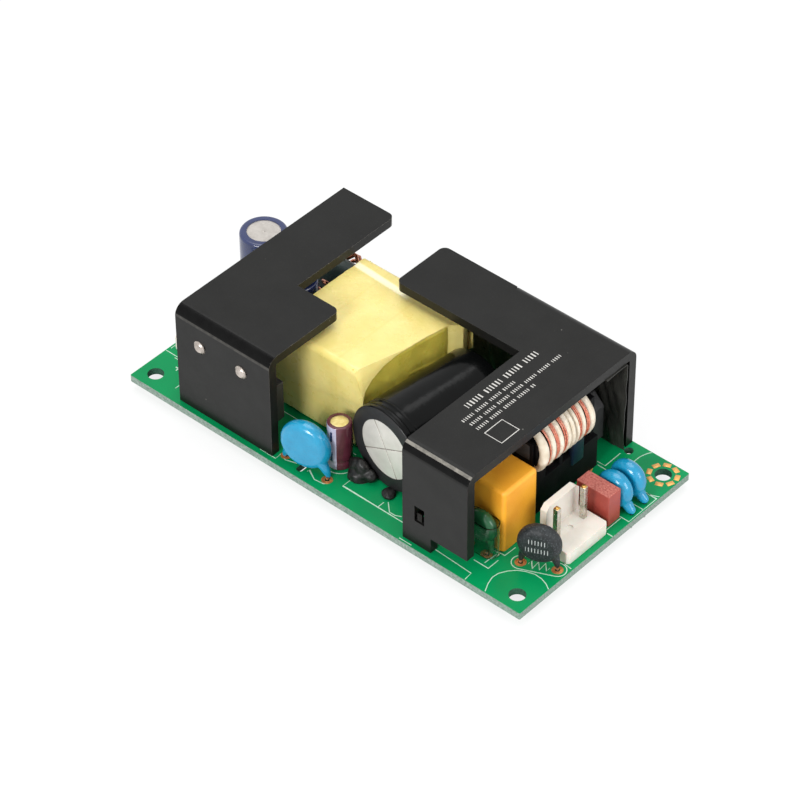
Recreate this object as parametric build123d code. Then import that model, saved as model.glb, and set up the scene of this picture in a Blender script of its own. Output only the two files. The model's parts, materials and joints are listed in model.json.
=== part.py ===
from build123d import *
import math
import os

# Open-frame AC to DC power supply on one circuit board, every piece as its own closed solid.
# The frame has +X along the board towards the mains input, +Y across it and +Z up.
# Its origin is the centre of the mounting-hole rectangle on the board's underside.

# Shared sheet, lead and assembly sizes, in millimetres
board_thickness = 1.6
board_corner_radius = 0.25
mounting_hole_radius = 1.7
mounting_hole_inset = 3.6
spare_hole_radius = 0.95
spare_hole_to_sink = 1.1
spare_hole_inset = 2.67
lead_hole_clearance = 0.15
solder_height = 1.1
solder_flare = 0.55
solder_tip_flare = 0.1
lead_tip_length = 2.0
seat_gap = 0.3
hair_gap = 0.05
cut_over = 1.0
small_chamfer = 0.3

# Row of parts along X, from the output edge to the input edge
output_edge_gap = 0.8
header_depth = 8.5
header_to_heatsink = 3.4
bar_width = 13.8
bar_to_transformer = 0.8
transformer_span = 22.7
bulk_gap = 0.37
bulk_radius = 9.4
bulk_length = 25.0
bulk_yaw = 6.03
suppressor_gap = 0.64
suppressor_length = 17.8
suppressor_to_header = 2.9
input_edge_gap = 1.4

# Row of parts along Y, from the near edge to the far edge
near_edge_gap = 1.2
sheet_thickness = 2.0
pad_thickness = 0.25
package_depth = 4.5
package_to_suppressor = 2.45
suppressor_width = 9.8
suppressor_to_choke = 2.2
choke_length = 18.4
choke_to_bridge = 0.9
bridge_depth = 4.6
bridge_to_film = 1.3
film_thickness = 0.2
film_to_wall = 0.8
far_edge_gap = 0.2

# Heatsinks
plate_top = 26.0
bend_radius = 2.4
plate_corner_radius = 1.5
output_sink_width = 24.9
output_tab_reach = 20.2
bar_end_gap = 0.9
input_sink_offset = 0.5
input_sink_width = 16.1
input_arm_length = 47.7
input_arm_width = 15.6
arm_far_step = 1.25
far_wall_width = 28.8
leg_width = 7.05
raised_foot = 3.7
window_width = 2.45
window_height = 3.9
window_sill = 6.0
window_inset = 3.0
sink_pin_radius = 0.6
sink_pin_depth = 3.0
sink_pin_inset = 3.1

# Power packages and their fixings
package_width = 10.2
package_body_height = 9.2
package_chamfer = 0.4
tab_thickness = 1.3
tab_height = 15.65
tab_hole_drop = 2.8
tab_hole_radius = 1.9
tabless_height = 10.5
lead_pitch = 2.54
lead_width = 0.8
lead_thickness = 0.5
lead_standoff = 2.6
rectifier_inset = 6.3
rectifier_pitch = 11.0
rectifier_lift = 4.5
transistor_lift = 11.3
screw_radius = 1.5
screw_proud = 1.0
screw_head_radius = 2.8
screw_head_height = 2.0
screw_head_round = 0.8
bushing_flange_radius = 3.0
bushing_flange = 0.6
pad_margin = 0.5
clip_width = 1.2
clip_thickness = 0.5
clip_reach = 0.8
clip_inset = 0.1
clip_hook = 1.5
clip_lip = 2.0
clip_contact_height = 5.2
bridge_length = 14.5
bridge_height = 10.6
bridge_lift = 2.0
bridge_corner = 2.4
bridge_pitch = 3.81
bridge_inset = 4.0

# Transformer
transformer_depth = 27.0
transformer_near_gap = 5.45
transformer_height = 20.4
tape_thickness = 0.3
tape_rounding = 1.2
tape_overhang = 2.3
tape_edge_radius = 52.0
tape_edge_dip = 1.5
core_width = 19.0
core_plate = 4.0
core_post_radius = 6.0
core_window_radius = 10.4
bobbin_wall = 0.6
bobbin_flange = 0.8
winding_radius = 9.9
rail_width = 2.2
rail_length = 21.0
rail_overhang = 0.6
pin_side = 0.64
transformer_pin_pitch = 5.08
transformer_pin_depth = 3.0
transformer_lift = 0.1
tape_press_gap = 0.25
wrap_inset = 0.1

# Electrolytic capacitors
sleeve_thickness = 0.2
sleeve_edge_radius = 0.45
bulk_near_offset = 9.35
bulk_seat_gap = 0.15
bulk_vent_radius = 6.54
bulk_rim_width = 2.0
vent_turn = 20.0
vent_groove = 0.3
bulk_lead_pitch = 7.5
bulk_lead_reach = 2.6
bulk_groove_place = 1.9
bulk_groove_width = 0.5
bulk_groove_depth = 0.1
round_lead_radius = 0.4
adhesive_radius = 2.6
adhesive_tuck = 0.85
can_rim_share = 0.12
can_opening_share = 0.73
bias_radius = 2.5
bias_height = 10.9
bias_gap = 0.05
bias_turn = 43.0
output_can_radius = 4.95
output_can_height = 20.4
output_can_to_header = 0.55
output_can_to_bar = 1.25
filter_can_radius = 4.0
filter_can_height = 20.0
filter_can_to_bar_edge = 5.2
filter_can_offset = 18.95
can_lead_share = 0.5

# Disc parts
disc_lead_radius = 0.3
coat_radius = 0.75
coat_foot_share = 0.6
coat_reach_share = 0.66
coat_drop_share = 0.7
lead_reach_share = 3.0
disc_edge_share = 0.47
isolator_radius = 5.5
isolator_thickness = 3.6
isolator_pitch = 10.7
isolator_to_sink = 1.7
isolator_edge_gap = 3.3
isolator_turn = 5.0
isolator_lift = 0.7
line_disc_radius = 4.0
line_disc_thickness = 3.4
line_disc_pitch = 7.5
line_disc_gap = 0.6
line_disc_edge_gap = 5.5
line_disc_shift = 0.4
line_disc_lift = 0.2
fuse_to_disc = 0.45
thermistor_radius = 4.2
thermistor_thickness = 3.4
thermistor_turn = 24.4
thermistor_pitch = 7.2
thermistor_edge_gap = 5.45
thermistor_to_header = 3.75
thermistor_lift = 2.1
varistor_radius = 3.6
varistor_thickness = 2.9
varistor_pitch = 4.4
varistor_lead_shift = 0.6
varistor_setback = 0.2
varistor_lift = 2.8
tube_wall = 0.25
tube_clearance = 0.2
tube_to_suppressor = 0.15
tube_foot = 0.6
tube_height_share = 1.5
tube_round_share = 0.98

# Box parts, headers and choke
suppressor_height = 15.0
suppressor_edge_radius = 0.8
suppressor_pitch = 15.0
fuse_length = 8.0
fuse_width = 3.7
fuse_height = 7.5
fuse_edge_radius = 0.25
fuse_pitch = 5.08
fuse_to_header = 1.24
fuse_edge_gap = 2.4
header_pitch = 3.96
header_end = 1.9
header_base = 2.8
header_wall = 1.5
header_wall_inset = 0.1
header_wall_height = 9.2
header_wall_end = 1.6
header_pin_side = 1.14
header_pin_height = 10.85
header_pin_place = 3.9
header_pin_chamfer = 0.25
header_base_chamfer = 0.5
header_wall_chamfer = 1.0
header_wall_far_gap = 0.5
dimple_radius = 0.7
dimple_depth = 0.3
input_header_start = 15.85
input_positions = 3
output_header_start = 11.7
output_positions = 4
choke_turns = 9
choke_wire = 1.62
choke_turn_gap = 0.09
choke_loop_radius = 6.0
choke_axis_height = 14.8
choke_to_header = 8.7
choke_rod = 3.6
choke_former = 5.9
choke_cheek_width = 5.0
choke_base_width = 7.2
choke_base_height = 8.0
choke_cheek = 1.2
choke_pin_depth = 3.0
choke_pin_pitch = 5.04
choke_pin_span = 14.0
rod_edge_radius = 0.3
strand_gap = 0.03
strand_radius = 0.3
inductor_outer = 6.6
inductor_inner = 3.6
inductor_width = 6.0
inductor_wire = 0.9
inductor_gap_angle = 62.0
inductor_from_bar_edge = 5.2
inductor_from_far_edge = 11.5
inductor_lift = 0.5
inductor_edge_radius = 0.5
winding_edge_share = 0.8
inductor_lead_share = 0.75

# Insulation, feedback and underside parts
film_width = 27.9
film_flange = 6.0
film_top_gap = 0.2
film_end_overhang = 0.2
opto_length = 6.4
opto_width = 4.6
opto_height = 3.4
opto_lift = 0.5
opto_row = 7.62
opto_lead_thickness = 0.3
opto_from_arm = 3.9
opto_to_transformer = 2.2
slot_width = 1.4
slot_round_share = 0.45
slot_start = 1.4
slot_to_transformer = 1.0
chip_length = 3.2
chip_width = 1.6
chip_height = 0.6
controller_length = 4.9
controller_width = 3.9
controller_height = 1.4
chip_row_pitch = 3.0
chips_per_row = 5
controller_shift = 0.9

# Places along X that follow from the row of parts
yaw_tangent = math.tan(math.radians(bulk_yaw))
yaw_secant = 1 / math.cos(math.radians(bulk_yaw))
suppressor_end_y = near_edge_gap + sheet_thickness + pad_thickness + package_depth
suppressor_end_y += package_to_suppressor + suppressor_width
bulk_to_suppressor = (suppressor_end_y - bulk_near_offset) * yaw_tangent + bulk_radius * yaw_secant
board_length = sum([
    output_edge_gap, header_depth, header_to_heatsink, bar_width, bar_to_transformer, transformer_span,
    bulk_gap, bulk_radius, bulk_to_suppressor, suppressor_gap, suppressor_length,
    suppressor_to_header, header_depth, input_edge_gap,
])
edge_x = -board_length / 2
output_header_x = edge_x + output_edge_gap
output_sink_x = output_header_x + header_depth + header_to_heatsink
bar_edge_x = output_sink_x + bar_width
transformer_x = bar_edge_x + bar_to_transformer
transformer_end_x = transformer_x + transformer_span
bulk_x = transformer_end_x + bulk_gap + bulk_radius
suppressor_x = bulk_x + bulk_to_suppressor + suppressor_gap
input_header_x = suppressor_x + suppressor_length + suppressor_to_header
input_sink_x = suppressor_x + input_sink_offset
input_sink_end = input_sink_x + input_sink_width
output_sink_end = output_sink_x + output_sink_width

# Places along Y that follow from the row of parts
wall_depth = near_edge_gap + sheet_thickness
package_front = wall_depth + pad_thickness + package_depth
suppressor_start_y = package_front + package_to_suppressor
choke_start_y = suppressor_end_y + suppressor_to_choke
bridge_start_y = choke_start_y + choke_length + choke_to_bridge
film_start_y = bridge_start_y + bridge_depth + bridge_to_film
board_width = film_start_y + film_thickness + film_to_wall + sheet_thickness + far_edge_gap
edge_y = -board_width / 2
wall_y = edge_y + near_edge_gap
wall_inner_y = edge_y + wall_depth
tab_back_y = wall_inner_y + pad_thickness
suppressor_y = edge_y + suppressor_start_y
choke_y = edge_y + choke_start_y
bridge_y = edge_y + bridge_start_y
film_y = edge_y + film_start_y
far_wall_y = board_width / 2 - far_edge_gap
transformer_y = edge_y + package_front + transformer_near_gap
bulk_y = edge_y + bulk_near_offset

# Heights
tape_inner_rounding = tape_rounding - tape_thickness
top = board_thickness
plate_bottom = plate_top - sheet_thickness
rectifier_foot = top + rectifier_lift
transistor_foot = top + transistor_lift
transformer_foot = top + transformer_lift
transformer_top = top + transformer_height
bulk_z = top + bulk_seat_gap + bulk_radius
choke_z = top + choke_axis_height
choke_x = input_header_x - choke_to_header
loop_wire_radius = choke_wire / 2


def block(x0, x1, y0, y1, z0, z1):
    """A box between two corners."""
    middle = Pos((x0 + x1) / 2, (y0 + y1) / 2, (z0 + z1) / 2)
    return middle * Box(abs(x1 - x0), abs(y1 - y0), abs(z1 - z0))


def rod(x, y, z0, z1, radius):
    """An upright round bar."""
    return Pos(x, y, (z0 + z1) / 2) * Cylinder(radius, abs(z1 - z0))


def square_pin(x, y, z0, z1, side):
    """An upright square bar."""
    return block(x - side / 2, x + side / 2, y - side / 2, y + side / 2, z0, z1)


def strut(start, end, radius):
    """A round bar between two points."""
    line = Line(start, end)
    bar = Pos(0, 0, line.length / 2) * Cylinder(radius, line.length)
    return Plane(origin=start, z_dir=line % 0) * bar


def rounded_x(solid, radius):
    """The solid with its edges along X rounded."""
    return fillet(solid.edges().filter_by(Axis.X), radius)


def group(pieces):
    """Separate solids kept together in one node."""
    return Compound(children=[solid for piece in pieces for solid in piece.solids()])


def mounting_points():
    """Centres of the four mounting holes."""
    x = board_length / 2 - mounting_hole_inset
    y = board_width / 2 - mounting_hole_inset
    return [(-x, -y), (x, -y), (x, y), (-x, y)]


def row_points(x, y, count, pitch, along_x):
    """Centres of a straight row of leads around one point."""
    steps = [(index - (count - 1) / 2) * pitch for index in range(count)]
    return [(x + step, y) if along_x else (x, y + step) for step in steps]


def turned_points(x, y, pitch, turn):
    """Two lead centres on a line turned from X about their midpoint."""
    dx = pitch / 2 * math.cos(math.radians(turn))
    dy = pitch / 2 * math.sin(math.radians(turn))
    return [(x - dx, y - dy), (x + dx, y + dy)]


# Centres of the parts that stand on the board
rectifier_xs = [output_sink_x + rectifier_inset, output_sink_x + rectifier_inset + rectifier_pitch]
window_x = input_sink_x + window_inset + window_width / 2
transistor_x = window_x + lead_pitch / 2
package_lead_y = tab_back_y + lead_standoff
core_x = (transformer_x + transformer_end_x) / 2
core_y = transformer_y + transformer_depth / 2
rail_reach = transformer_span / 2 + rail_overhang
suppressor_centre = (suppressor_x + suppressor_length / 2, suppressor_y + suppressor_width / 2)
fuse_x = board_length / 2 - fuse_edge_gap - fuse_length / 2
input_header_y = edge_y + input_header_start
input_header_length = 2 * header_end + (input_positions - 1) * header_pitch
fuse_y = input_header_y + input_header_length + fuse_to_header + fuse_width / 2
line_disc_x = board_length / 2 - line_disc_edge_gap
line_disc_y = fuse_y + fuse_width / 2 + fuse_to_disc + line_disc_thickness / 2
line_disc_ys = [line_disc_y, line_disc_y + line_disc_thickness + line_disc_gap]
thermistor_place = (board_length / 2 - thermistor_edge_gap, input_header_y - thermistor_to_header)
tube_half_depth = varistor_thickness / 2 + tube_clearance + tube_wall
varistor_x = suppressor_x + suppressor_length - varistor_setback - varistor_radius
varistor_y = suppressor_y - tube_to_suppressor - tube_half_depth
isolator_x = output_sink_end + isolator_to_sink + isolator_radius
isolator_y = edge_y + isolator_edge_gap
output_header_y = edge_y + output_header_start
output_header_length = 2 * header_end + (output_positions - 1) * header_pitch
output_can_x = output_sink_x - output_can_to_bar - output_can_radius
output_can_y = output_header_y + output_header_length + output_can_to_header + output_can_radius
filter_can_x = bar_edge_x - filter_can_to_bar_edge
filter_can_y = edge_y + package_front + filter_can_offset
inductor_x = bar_edge_x - inductor_from_bar_edge
inductor_y = board_width / 2 - inductor_from_far_edge
inductor_z = top + inductor_lift + inductor_outer + inductor_wire
bulk_turn = math.radians(bulk_yaw)
rim_reach = bulk_radius - sleeve_edge_radius
rim_x = bulk_x - rim_reach * math.cos(bulk_turn) + sleeve_edge_radius * math.sin(bulk_turn)
rim_y = bulk_y + rim_reach * math.sin(bulk_turn) + sleeve_edge_radius * math.cos(bulk_turn)
bias_from_rim = bias_radius + sleeve_edge_radius + bias_gap
bias_x = rim_x - bias_from_rim * math.cos(math.radians(bias_turn))
bias_y = rim_y - bias_from_rim * math.sin(math.radians(bias_turn))
opto_x = input_sink_end - input_arm_length + opto_from_arm
opto_y = transformer_y + transformer_depth + opto_to_transformer + opto_width / 2
bridge_x = input_sink_end - bridge_inset - bridge_length / 2
choke_mid_y = choke_y + choke_length / 2
far_wall_x = input_sink_end - far_wall_width


def bulk_frame():
    """Frame at the bulk capacitor's near end, with its Z axis along the can."""
    direction = (math.sin(math.radians(bulk_yaw)), math.cos(math.radians(bulk_yaw)), 0)
    return Plane(origin=(bulk_x, bulk_y, bulk_z), x_dir=(0, 0, 1), z_dir=direction)


def bulk_lead_points():
    """Where the bulk capacitor's two leads go through the board."""
    reach = bulk_length + bulk_lead_reach
    x = bulk_x + reach * math.sin(math.radians(bulk_yaw))
    y = bulk_y + reach * math.cos(math.radians(bulk_yaw))
    return turned_points(x, y, bulk_lead_pitch, -bulk_yaw)


def can_points(x, y, radius, along_x):
    """Two lead centres under an upright can."""
    return row_points(x, y, 2, can_lead_share * radius * 2, along_x)


rectifier_points = [
    point
    for x in rectifier_xs
    for point in row_points(x, package_lead_y, 3, lead_pitch, True)
]
transistor_points = row_points(transistor_x, package_lead_y, 3, lead_pitch, True)
bridge_points = row_points(bridge_x, bridge_y + bridge_depth / 2, 4, bridge_pitch, True)
rail_x = rail_reach - rail_width / 2
transformer_points = [
    point
    for x in (core_x - rail_x, core_x + rail_x)
    for point in row_points(x, core_y, 4, transformer_pin_pitch, False)
]
bias_points = can_points(bias_x, bias_y, bias_radius, False)
output_can_points = can_points(output_can_x, output_can_y, output_can_radius, False)
filter_can_points = can_points(filter_can_x, filter_can_y, filter_can_radius, False)
isolator_points = turned_points(isolator_x, isolator_y, isolator_pitch, 0)
line_disc_points = [
    row_points(line_disc_x + line_disc_shift, y, 2, line_disc_pitch, True) for y in line_disc_ys
]
thermistor_points = turned_points(*thermistor_place, thermistor_pitch, thermistor_turn)
varistor_points = row_points(
    varistor_x - varistor_lead_shift, varistor_y - tube_clearance, 2, varistor_pitch, True
)
suppressor_points = row_points(*suppressor_centre, 2, suppressor_pitch, True)
fuse_points = row_points(fuse_x, fuse_y, 2, fuse_pitch, True)
header_pin_x = input_header_x + header_pin_place
input_header_points = row_points(
    header_pin_x, input_header_y + input_header_length / 2, 2, header_pitch * (input_positions - 1), False
)
output_pin_x = output_header_x + header_depth - header_pin_place
output_header_points = row_points(
    output_pin_x, output_header_y + output_header_length / 2, output_positions, header_pitch, False
)
choke_points = [
    point
    for y in (choke_mid_y - choke_pin_span / 2, choke_mid_y + choke_pin_span / 2)
    for point in row_points(choke_x, y, 2, choke_pin_pitch, True)
]
inductor_points = row_points(inductor_x, inductor_y, 2, inductor_outer, False)
opto_points = [
    point
    for x in (opto_x - opto_row / 2, opto_x + opto_row / 2)
    for point in row_points(x, opto_y, 2, lead_pitch, False)
]
sheet_mid_y = wall_y + sheet_thickness / 2
far_sheet_mid_y = far_wall_y - sheet_thickness / 2
sink_pin_points = [
    (output_sink_x + sink_pin_inset, sheet_mid_y),
    (output_sink_end - sink_pin_inset, sheet_mid_y),
    (input_sink_x + leg_width / 2, sheet_mid_y),
    (far_wall_x + sink_pin_inset, far_sheet_mid_y),
    (input_sink_end - sink_pin_inset, far_sheet_mid_y),
]

# Every lead that goes through the board, with the radius that its hole is drilled for
flat_lead_radius = math.hypot(lead_width, lead_thickness) / 2
pin_radius = pin_side * math.sqrt(0.5)
header_pin_radius = header_pin_side * math.sqrt(0.5)
lead_places = [
    (rectifier_points + transistor_points + bridge_points + opto_points, flat_lead_radius),
    (transformer_points + choke_points, pin_radius),
    (bulk_lead_points() + output_can_points + filter_can_points + suppressor_points, round_lead_radius),
    (bias_points + isolator_points + line_disc_points[0] + line_disc_points[1], disc_lead_radius),
    (thermistor_points + varistor_points + fuse_points, disc_lead_radius),
    (input_header_points + output_header_points, header_pin_radius),
    (inductor_points, inductor_wire / 2),
    (sink_pin_points, sink_pin_radius),
]


def circuit_board():
    """The board with its mounting holes, lead holes and isolation slot."""
    board = block(-board_length / 2, board_length / 2, edge_y, -edge_y, 0, top)
    board = fillet(board.edges().filter_by(Axis.Z), board_corner_radius)
    cuts = [rod(x, y, -cut_over, top + cut_over, mounting_hole_radius) for x, y in mounting_points()]
    spare_hole = (input_sink_end + spare_hole_to_sink, board_width / 2 - spare_hole_inset)
    cuts.append(rod(*spare_hole, -cut_over, top + cut_over, spare_hole_radius))
    for points, radius in lead_places:
        cuts += [rod(x, y, -cut_over, top + cut_over, radius + lead_hole_clearance) for x, y in points]
    slot_y0 = edge_y + slot_start
    slot_y1 = transformer_y - slot_to_transformer
    slot = block(isolator_x - slot_width, isolator_x, slot_y0, slot_y1, -cut_over, top + cut_over)
    cuts.append(fillet(slot.edges().filter_by(Axis.Z), slot_width * slot_round_share))
    return board - cuts


def solder_joints():
    """Solder cones under the board, each with the wetted tip of its lead."""
    joints = []
    for points, radius in lead_places:
        for x, y in points:
            cone = Cone(radius + solder_tip_flare, radius + solder_flare, solder_height)
            tip = rod(x, y, -lead_tip_length, -solder_height / 2, radius)
            joints.append(Pos(x, y, -solder_height / 2) * cone + tip)
    return group(joints)


def bent_sheet(x0, x1, y_end, wall_foot, far_wall):
    """A sheet that rises at the near edge and bends over the top, and down again if it has a far wall."""
    outer = block(x0, x1, wall_y, y_end, wall_foot, plate_top)
    inner_end = y_end - sheet_thickness if far_wall else y_end + cut_over
    inner_x = (x0 - cut_over, x1 + cut_over)
    inner = block(*inner_x, wall_inner_y, inner_end, wall_foot - cut_over, plate_bottom)
    inner_radius = bend_radius - sheet_thickness
    bends = 2 if far_wall else 1
    outer_edges = outer.edges().filter_by(Axis.X).group_by(Axis.Z)[-1].sort_by(Axis.Y)
    inner_edges = inner.edges().filter_by(Axis.X).group_by(Axis.Z)[-1].sort_by(Axis.Y)
    outer = fillet(outer_edges[:bends], bend_radius)
    inner = fillet(inner_edges[:bends], inner_radius)
    return outer - inner


def plan_corners(solid, places, radius):
    """The sheet with the upright corners of its top plate rounded at the given places."""
    corners = []
    for edge in solid.edges().filter_by(Axis.Z):
        centre = edge.center()
        for x, y in places:
            if math.hypot(centre.X - x, centre.Y - y) < hair_gap and centre.Z > plate_bottom:
                corners.append(edge)
    return fillet(corners, radius)


def output_heatsink():
    """Bent sheet over the output rectifiers, with a narrow bar across the board."""
    bar_end_y = board_width / 2 - bar_end_gap
    tab_end_y = wall_y + output_tab_reach
    sheet = bent_sheet(output_sink_x, output_sink_end, bar_end_y, top, False)
    beyond_x, beyond_y = output_sink_end + cut_over, bar_end_y + cut_over
    sheet -= block(bar_edge_x, beyond_x, tab_end_y, beyond_y, 0, plate_top + cut_over)
    corners = [(output_sink_end, tab_end_y), (bar_edge_x, bar_end_y)]
    sheet = plan_corners(sheet, corners, plate_corner_radius)
    holes = [wall_bore(x, screw_z(), screw_radius) for x in rectifier_xs]
    return sheet - holes - sink_pin_bores(top)


def input_heatsink():
    """Bent sheet over the mains side: near wall, top plate with a long arm, far wall."""
    arm_x = input_sink_end - input_arm_length
    arm_y = far_wall_y - input_arm_width
    sheet = bent_sheet(arm_x, input_sink_end, far_wall_y, top, True)
    before_x, above = arm_x - cut_over, plate_top + cut_over
    flat_end = far_wall_y - bend_radius
    sheet -= block(before_x, input_sink_x, wall_y - cut_over, arm_y, 0, above)
    sheet -= block(before_x, far_wall_x, flat_end, far_wall_y + cut_over, 0, above)
    arm_far_y = far_wall_y - arm_far_step
    sheet += block(arm_x, far_wall_x, flat_end, arm_far_y, plate_bottom, plate_top)
    sheet = plan_corners(sheet, [(arm_x, arm_y), (arm_x, arm_far_y)], plate_corner_radius)
    leg_x, beyond_x = input_sink_x + leg_width, input_sink_end + cut_over
    near_wall = (wall_y - cut_over, wall_inner_y + cut_over)
    sheet -= block(leg_x, beyond_x, *near_wall, 0, top + raised_foot)
    window_z = top + window_sill
    x0, x1 = window_x - window_width / 2, window_x + window_width / 2
    window = block(x0, x1, *near_wall, window_z, window_z + window_height)
    return sheet - window - sink_pin_bores(top)


def screw_z():
    """Height of the screws through the rectifiers' tabs."""
    return rectifier_foot + tab_height - tab_hole_drop


def wall_bore(x, z, radius):
    """A bore through the near wall along Y."""
    return along_y(x, z, wall_y - cut_over, wall_inner_y + cut_over, radius)


def sink_pin_bores(foot):
    """Blind holes for the solder pins in the feet of the sheets."""
    roof = foot + sink_pin_depth
    return [rod(x, y, foot - cut_over, roof, sink_pin_radius) for x, y in sink_pin_points]


def heatsink_pins():
    """Tinned pins pressed into the sheets' feet."""
    return group([rod(x, y, 0, top + sink_pin_depth, sink_pin_radius) for x, y in sink_pin_points])


def along_y(x, z, y0, y1, radius):
    """A round bar along Y."""
    return Pos(x, (y0 + y1) / 2, z) * Rot(90, 0, 0) * Cylinder(radius, y1 - y0)


def rectifier_screws():
    """Pan-head screws from inside, with their tips proud of the wall."""
    head_y = tab_back_y + tab_thickness + bushing_flange
    screws = []
    for x in rectifier_xs:
        tip_y = wall_y - screw_proud
        shank = along_y(x, screw_z(), tip_y, head_y, screw_radius)
        shank = chamfer(shank.edges().sort_by(Axis.Y)[0], small_chamfer)
        head = along_y(x, screw_z(), head_y, head_y + screw_head_height, screw_head_radius)
        head = fillet(head.edges().sort_by(Axis.Y)[-1], screw_head_round)
        screws.append(shank + head)
    return group(screws)


def rectifier_bushings():
    """Shouldered insulating bushings between the screws and the tabs."""
    tab_front = tab_back_y + tab_thickness
    bushings = []
    for x in rectifier_xs:
        barrel = along_y(x, screw_z(), tab_back_y, tab_front, tab_hole_radius)
        flange = along_y(x, screw_z(), tab_front, tab_front + bushing_flange, bushing_flange_radius)
        bore_end = tab_front + bushing_flange + cut_over
        bore = along_y(x, screw_z(), tab_back_y - cut_over, bore_end, screw_radius + hair_gap)
        bushings.append(barrel + flange - bore)
    return group(bushings)


def insulating_pad(x, z0, z1):
    """A thin pad between a package and the near wall."""
    half = package_width / 2 + pad_margin
    roof = min(z1 + pad_margin, plate_bottom - bend_radius + sheet_thickness)
    return block(x - half, x + half, wall_inner_y, tab_back_y, z0 - pad_margin, roof)


def rectifier_pads():
    """Insulating pads behind both rectifiers, bored for the screws."""
    bore = screw_radius + hair_gap
    pads = []
    for x in rectifier_xs:
        pad = insulating_pad(x, rectifier_foot, rectifier_foot + tab_height)
        half = rectifier_pitch / 2 - hair_gap
        pad &= block(x - half, x + half, wall_y, 0, 0, plate_top)
        pads.append(pad - along_y(x, screw_z(), wall_inner_y - cut_over, tab_back_y + cut_over, bore))
    return group(pads)


def package_body(x, foot):
    """The moulded body of a power package."""
    half = package_width / 2
    front = tab_back_y + package_depth
    body = block(x - half, x + half, tab_back_y + tab_thickness, front, foot, foot + package_body_height)
    front_edges = body.edges().group_by(Axis.Y)[-1]
    return chamfer(front_edges, package_chamfer)


def package_tab(x, foot, height):
    """The metal tab behind a package body."""
    half = package_width / 2
    return block(x - half, x + half, tab_back_y, tab_back_y + tab_thickness, foot, foot + height)


def package_leads(x, foot):
    """Three flat leads from a package body down to the board."""
    leads = []
    for lead_x, lead_y in row_points(x, package_lead_y, 3, lead_pitch, True):
        x0, x1 = lead_x - lead_width / 2, lead_x + lead_width / 2
        y0, y1 = lead_y - lead_thickness / 2, lead_y + lead_thickness / 2
        leads.append(block(x0, x1, y0, y1, 0, foot))
    return leads


def rectifier_bodies():
    """Moulded bodies of the two output rectifiers."""
    return group([package_body(x, rectifier_foot) for x in rectifier_xs])


def rectifier_leadframes():
    """Tabs and leads of the two output rectifiers."""
    pieces = []
    for x in rectifier_xs:
        hole_end = tab_back_y + tab_thickness + cut_over
        hole = along_y(x, screw_z(), tab_back_y - cut_over, hole_end, tab_hole_radius)
        pieces.append(package_tab(x, rectifier_foot, tab_height) - hole)
        pieces += package_leads(x, rectifier_foot)
    return group(pieces)


def transistor_leadframe():
    """Tab and leads of the switching transistor."""
    tab = package_tab(transistor_x, transistor_foot, tabless_height)
    return group([tab] + package_leads(transistor_x, transistor_foot))


def transistor_clip():
    """Spring strip hooked in the window, pressing on the transistor's body."""
    x0, x1 = window_x - clip_width / 2, window_x + clip_width / 2
    front = tab_back_y + package_depth
    arm_y = front + clip_reach
    arm_z = top + window_sill + window_height / 2
    hook_y = wall_y + clip_inset
    hook = block(x0, x1, hook_y, hook_y + clip_thickness, arm_z - clip_hook, arm_z)
    strip = block(x0, x1, hook_y, arm_y, arm_z, arm_z + clip_thickness)
    contact_z = transistor_foot + clip_contact_height
    riser = block(x0, x1, arm_y - clip_thickness, arm_y, arm_z, contact_z)
    contact = block(x0, x1, front, arm_y, contact_z, contact_z + 2 * clip_thickness)
    lip = block(x0, x1, arm_y - clip_thickness, arm_y, contact_z, contact_z + clip_lip)
    return hook + strip + riser + contact + lip


def bridge_rectifier_body():
    """Moulded body of the mains bridge rectifier, with its cut corner."""
    x0, x1 = bridge_x - bridge_length / 2, bridge_x + bridge_length / 2
    foot = top + bridge_lift
    body = block(x0, x1, bridge_y, bridge_y + bridge_depth, foot, foot + bridge_height)
    corner = body.edges().filter_by(Axis.Y).sort_by(lambda edge: edge.center().X + edge.center().Z)[-1]
    return chamfer(corner, bridge_corner)


def bridge_rectifier_leads():
    """Four flat leads of the bridge rectifier."""
    foot = top + bridge_lift
    leads = []
    for x, y in bridge_points:
        x0, x1 = x - lead_width / 2, x + lead_width / 2
        leads.append(block(x0, x1, y - lead_thickness / 2, y + lead_thickness / 2, 0, foot))
    return group(leads)


def core_half(upper):
    """One half of the ferrite core: back plate, round post and two outer legs."""
    z0 = transformer_foot + tape_thickness
    z1 = transformer_top - tape_thickness
    middle = (z0 + z1) / 2
    y0, y1 = transformer_y + tape_thickness, transformer_y + transformer_depth - tape_thickness
    x0, x1 = core_x - core_width / 2, core_x + core_width / 2
    bottom, roof = (middle, z1) if upper else (z0, middle)
    half = block(x0, x1, y0, y1, bottom, roof)
    outer_edges = half.edges().filter_by(Axis.X).group_by(Axis.Z)[-1 if upper else 0]
    half = fillet(outer_edges, tape_inner_rounding)
    window_z = (middle - cut_over, z1 - core_plate) if upper else (z0 + core_plate, middle + cut_over)
    window = rod(core_x, core_y, *window_z, core_window_radius)
    post_y = (core_y - core_post_radius, core_y + core_post_radius)
    side = block(x0 - cut_over, x1 + cut_over, *post_y, *window_z)
    post = rod(core_x, core_y, bottom, roof, core_post_radius)
    return half - window - side + post


def bobbin_floor():
    """Height of the bobbin's lower flange inside the core."""
    return transformer_foot + tape_thickness + core_plate


def bobbin_ceiling():
    """Height of the top of the bobbin's upper flange."""
    return transformer_top - tape_thickness - core_plate


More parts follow.
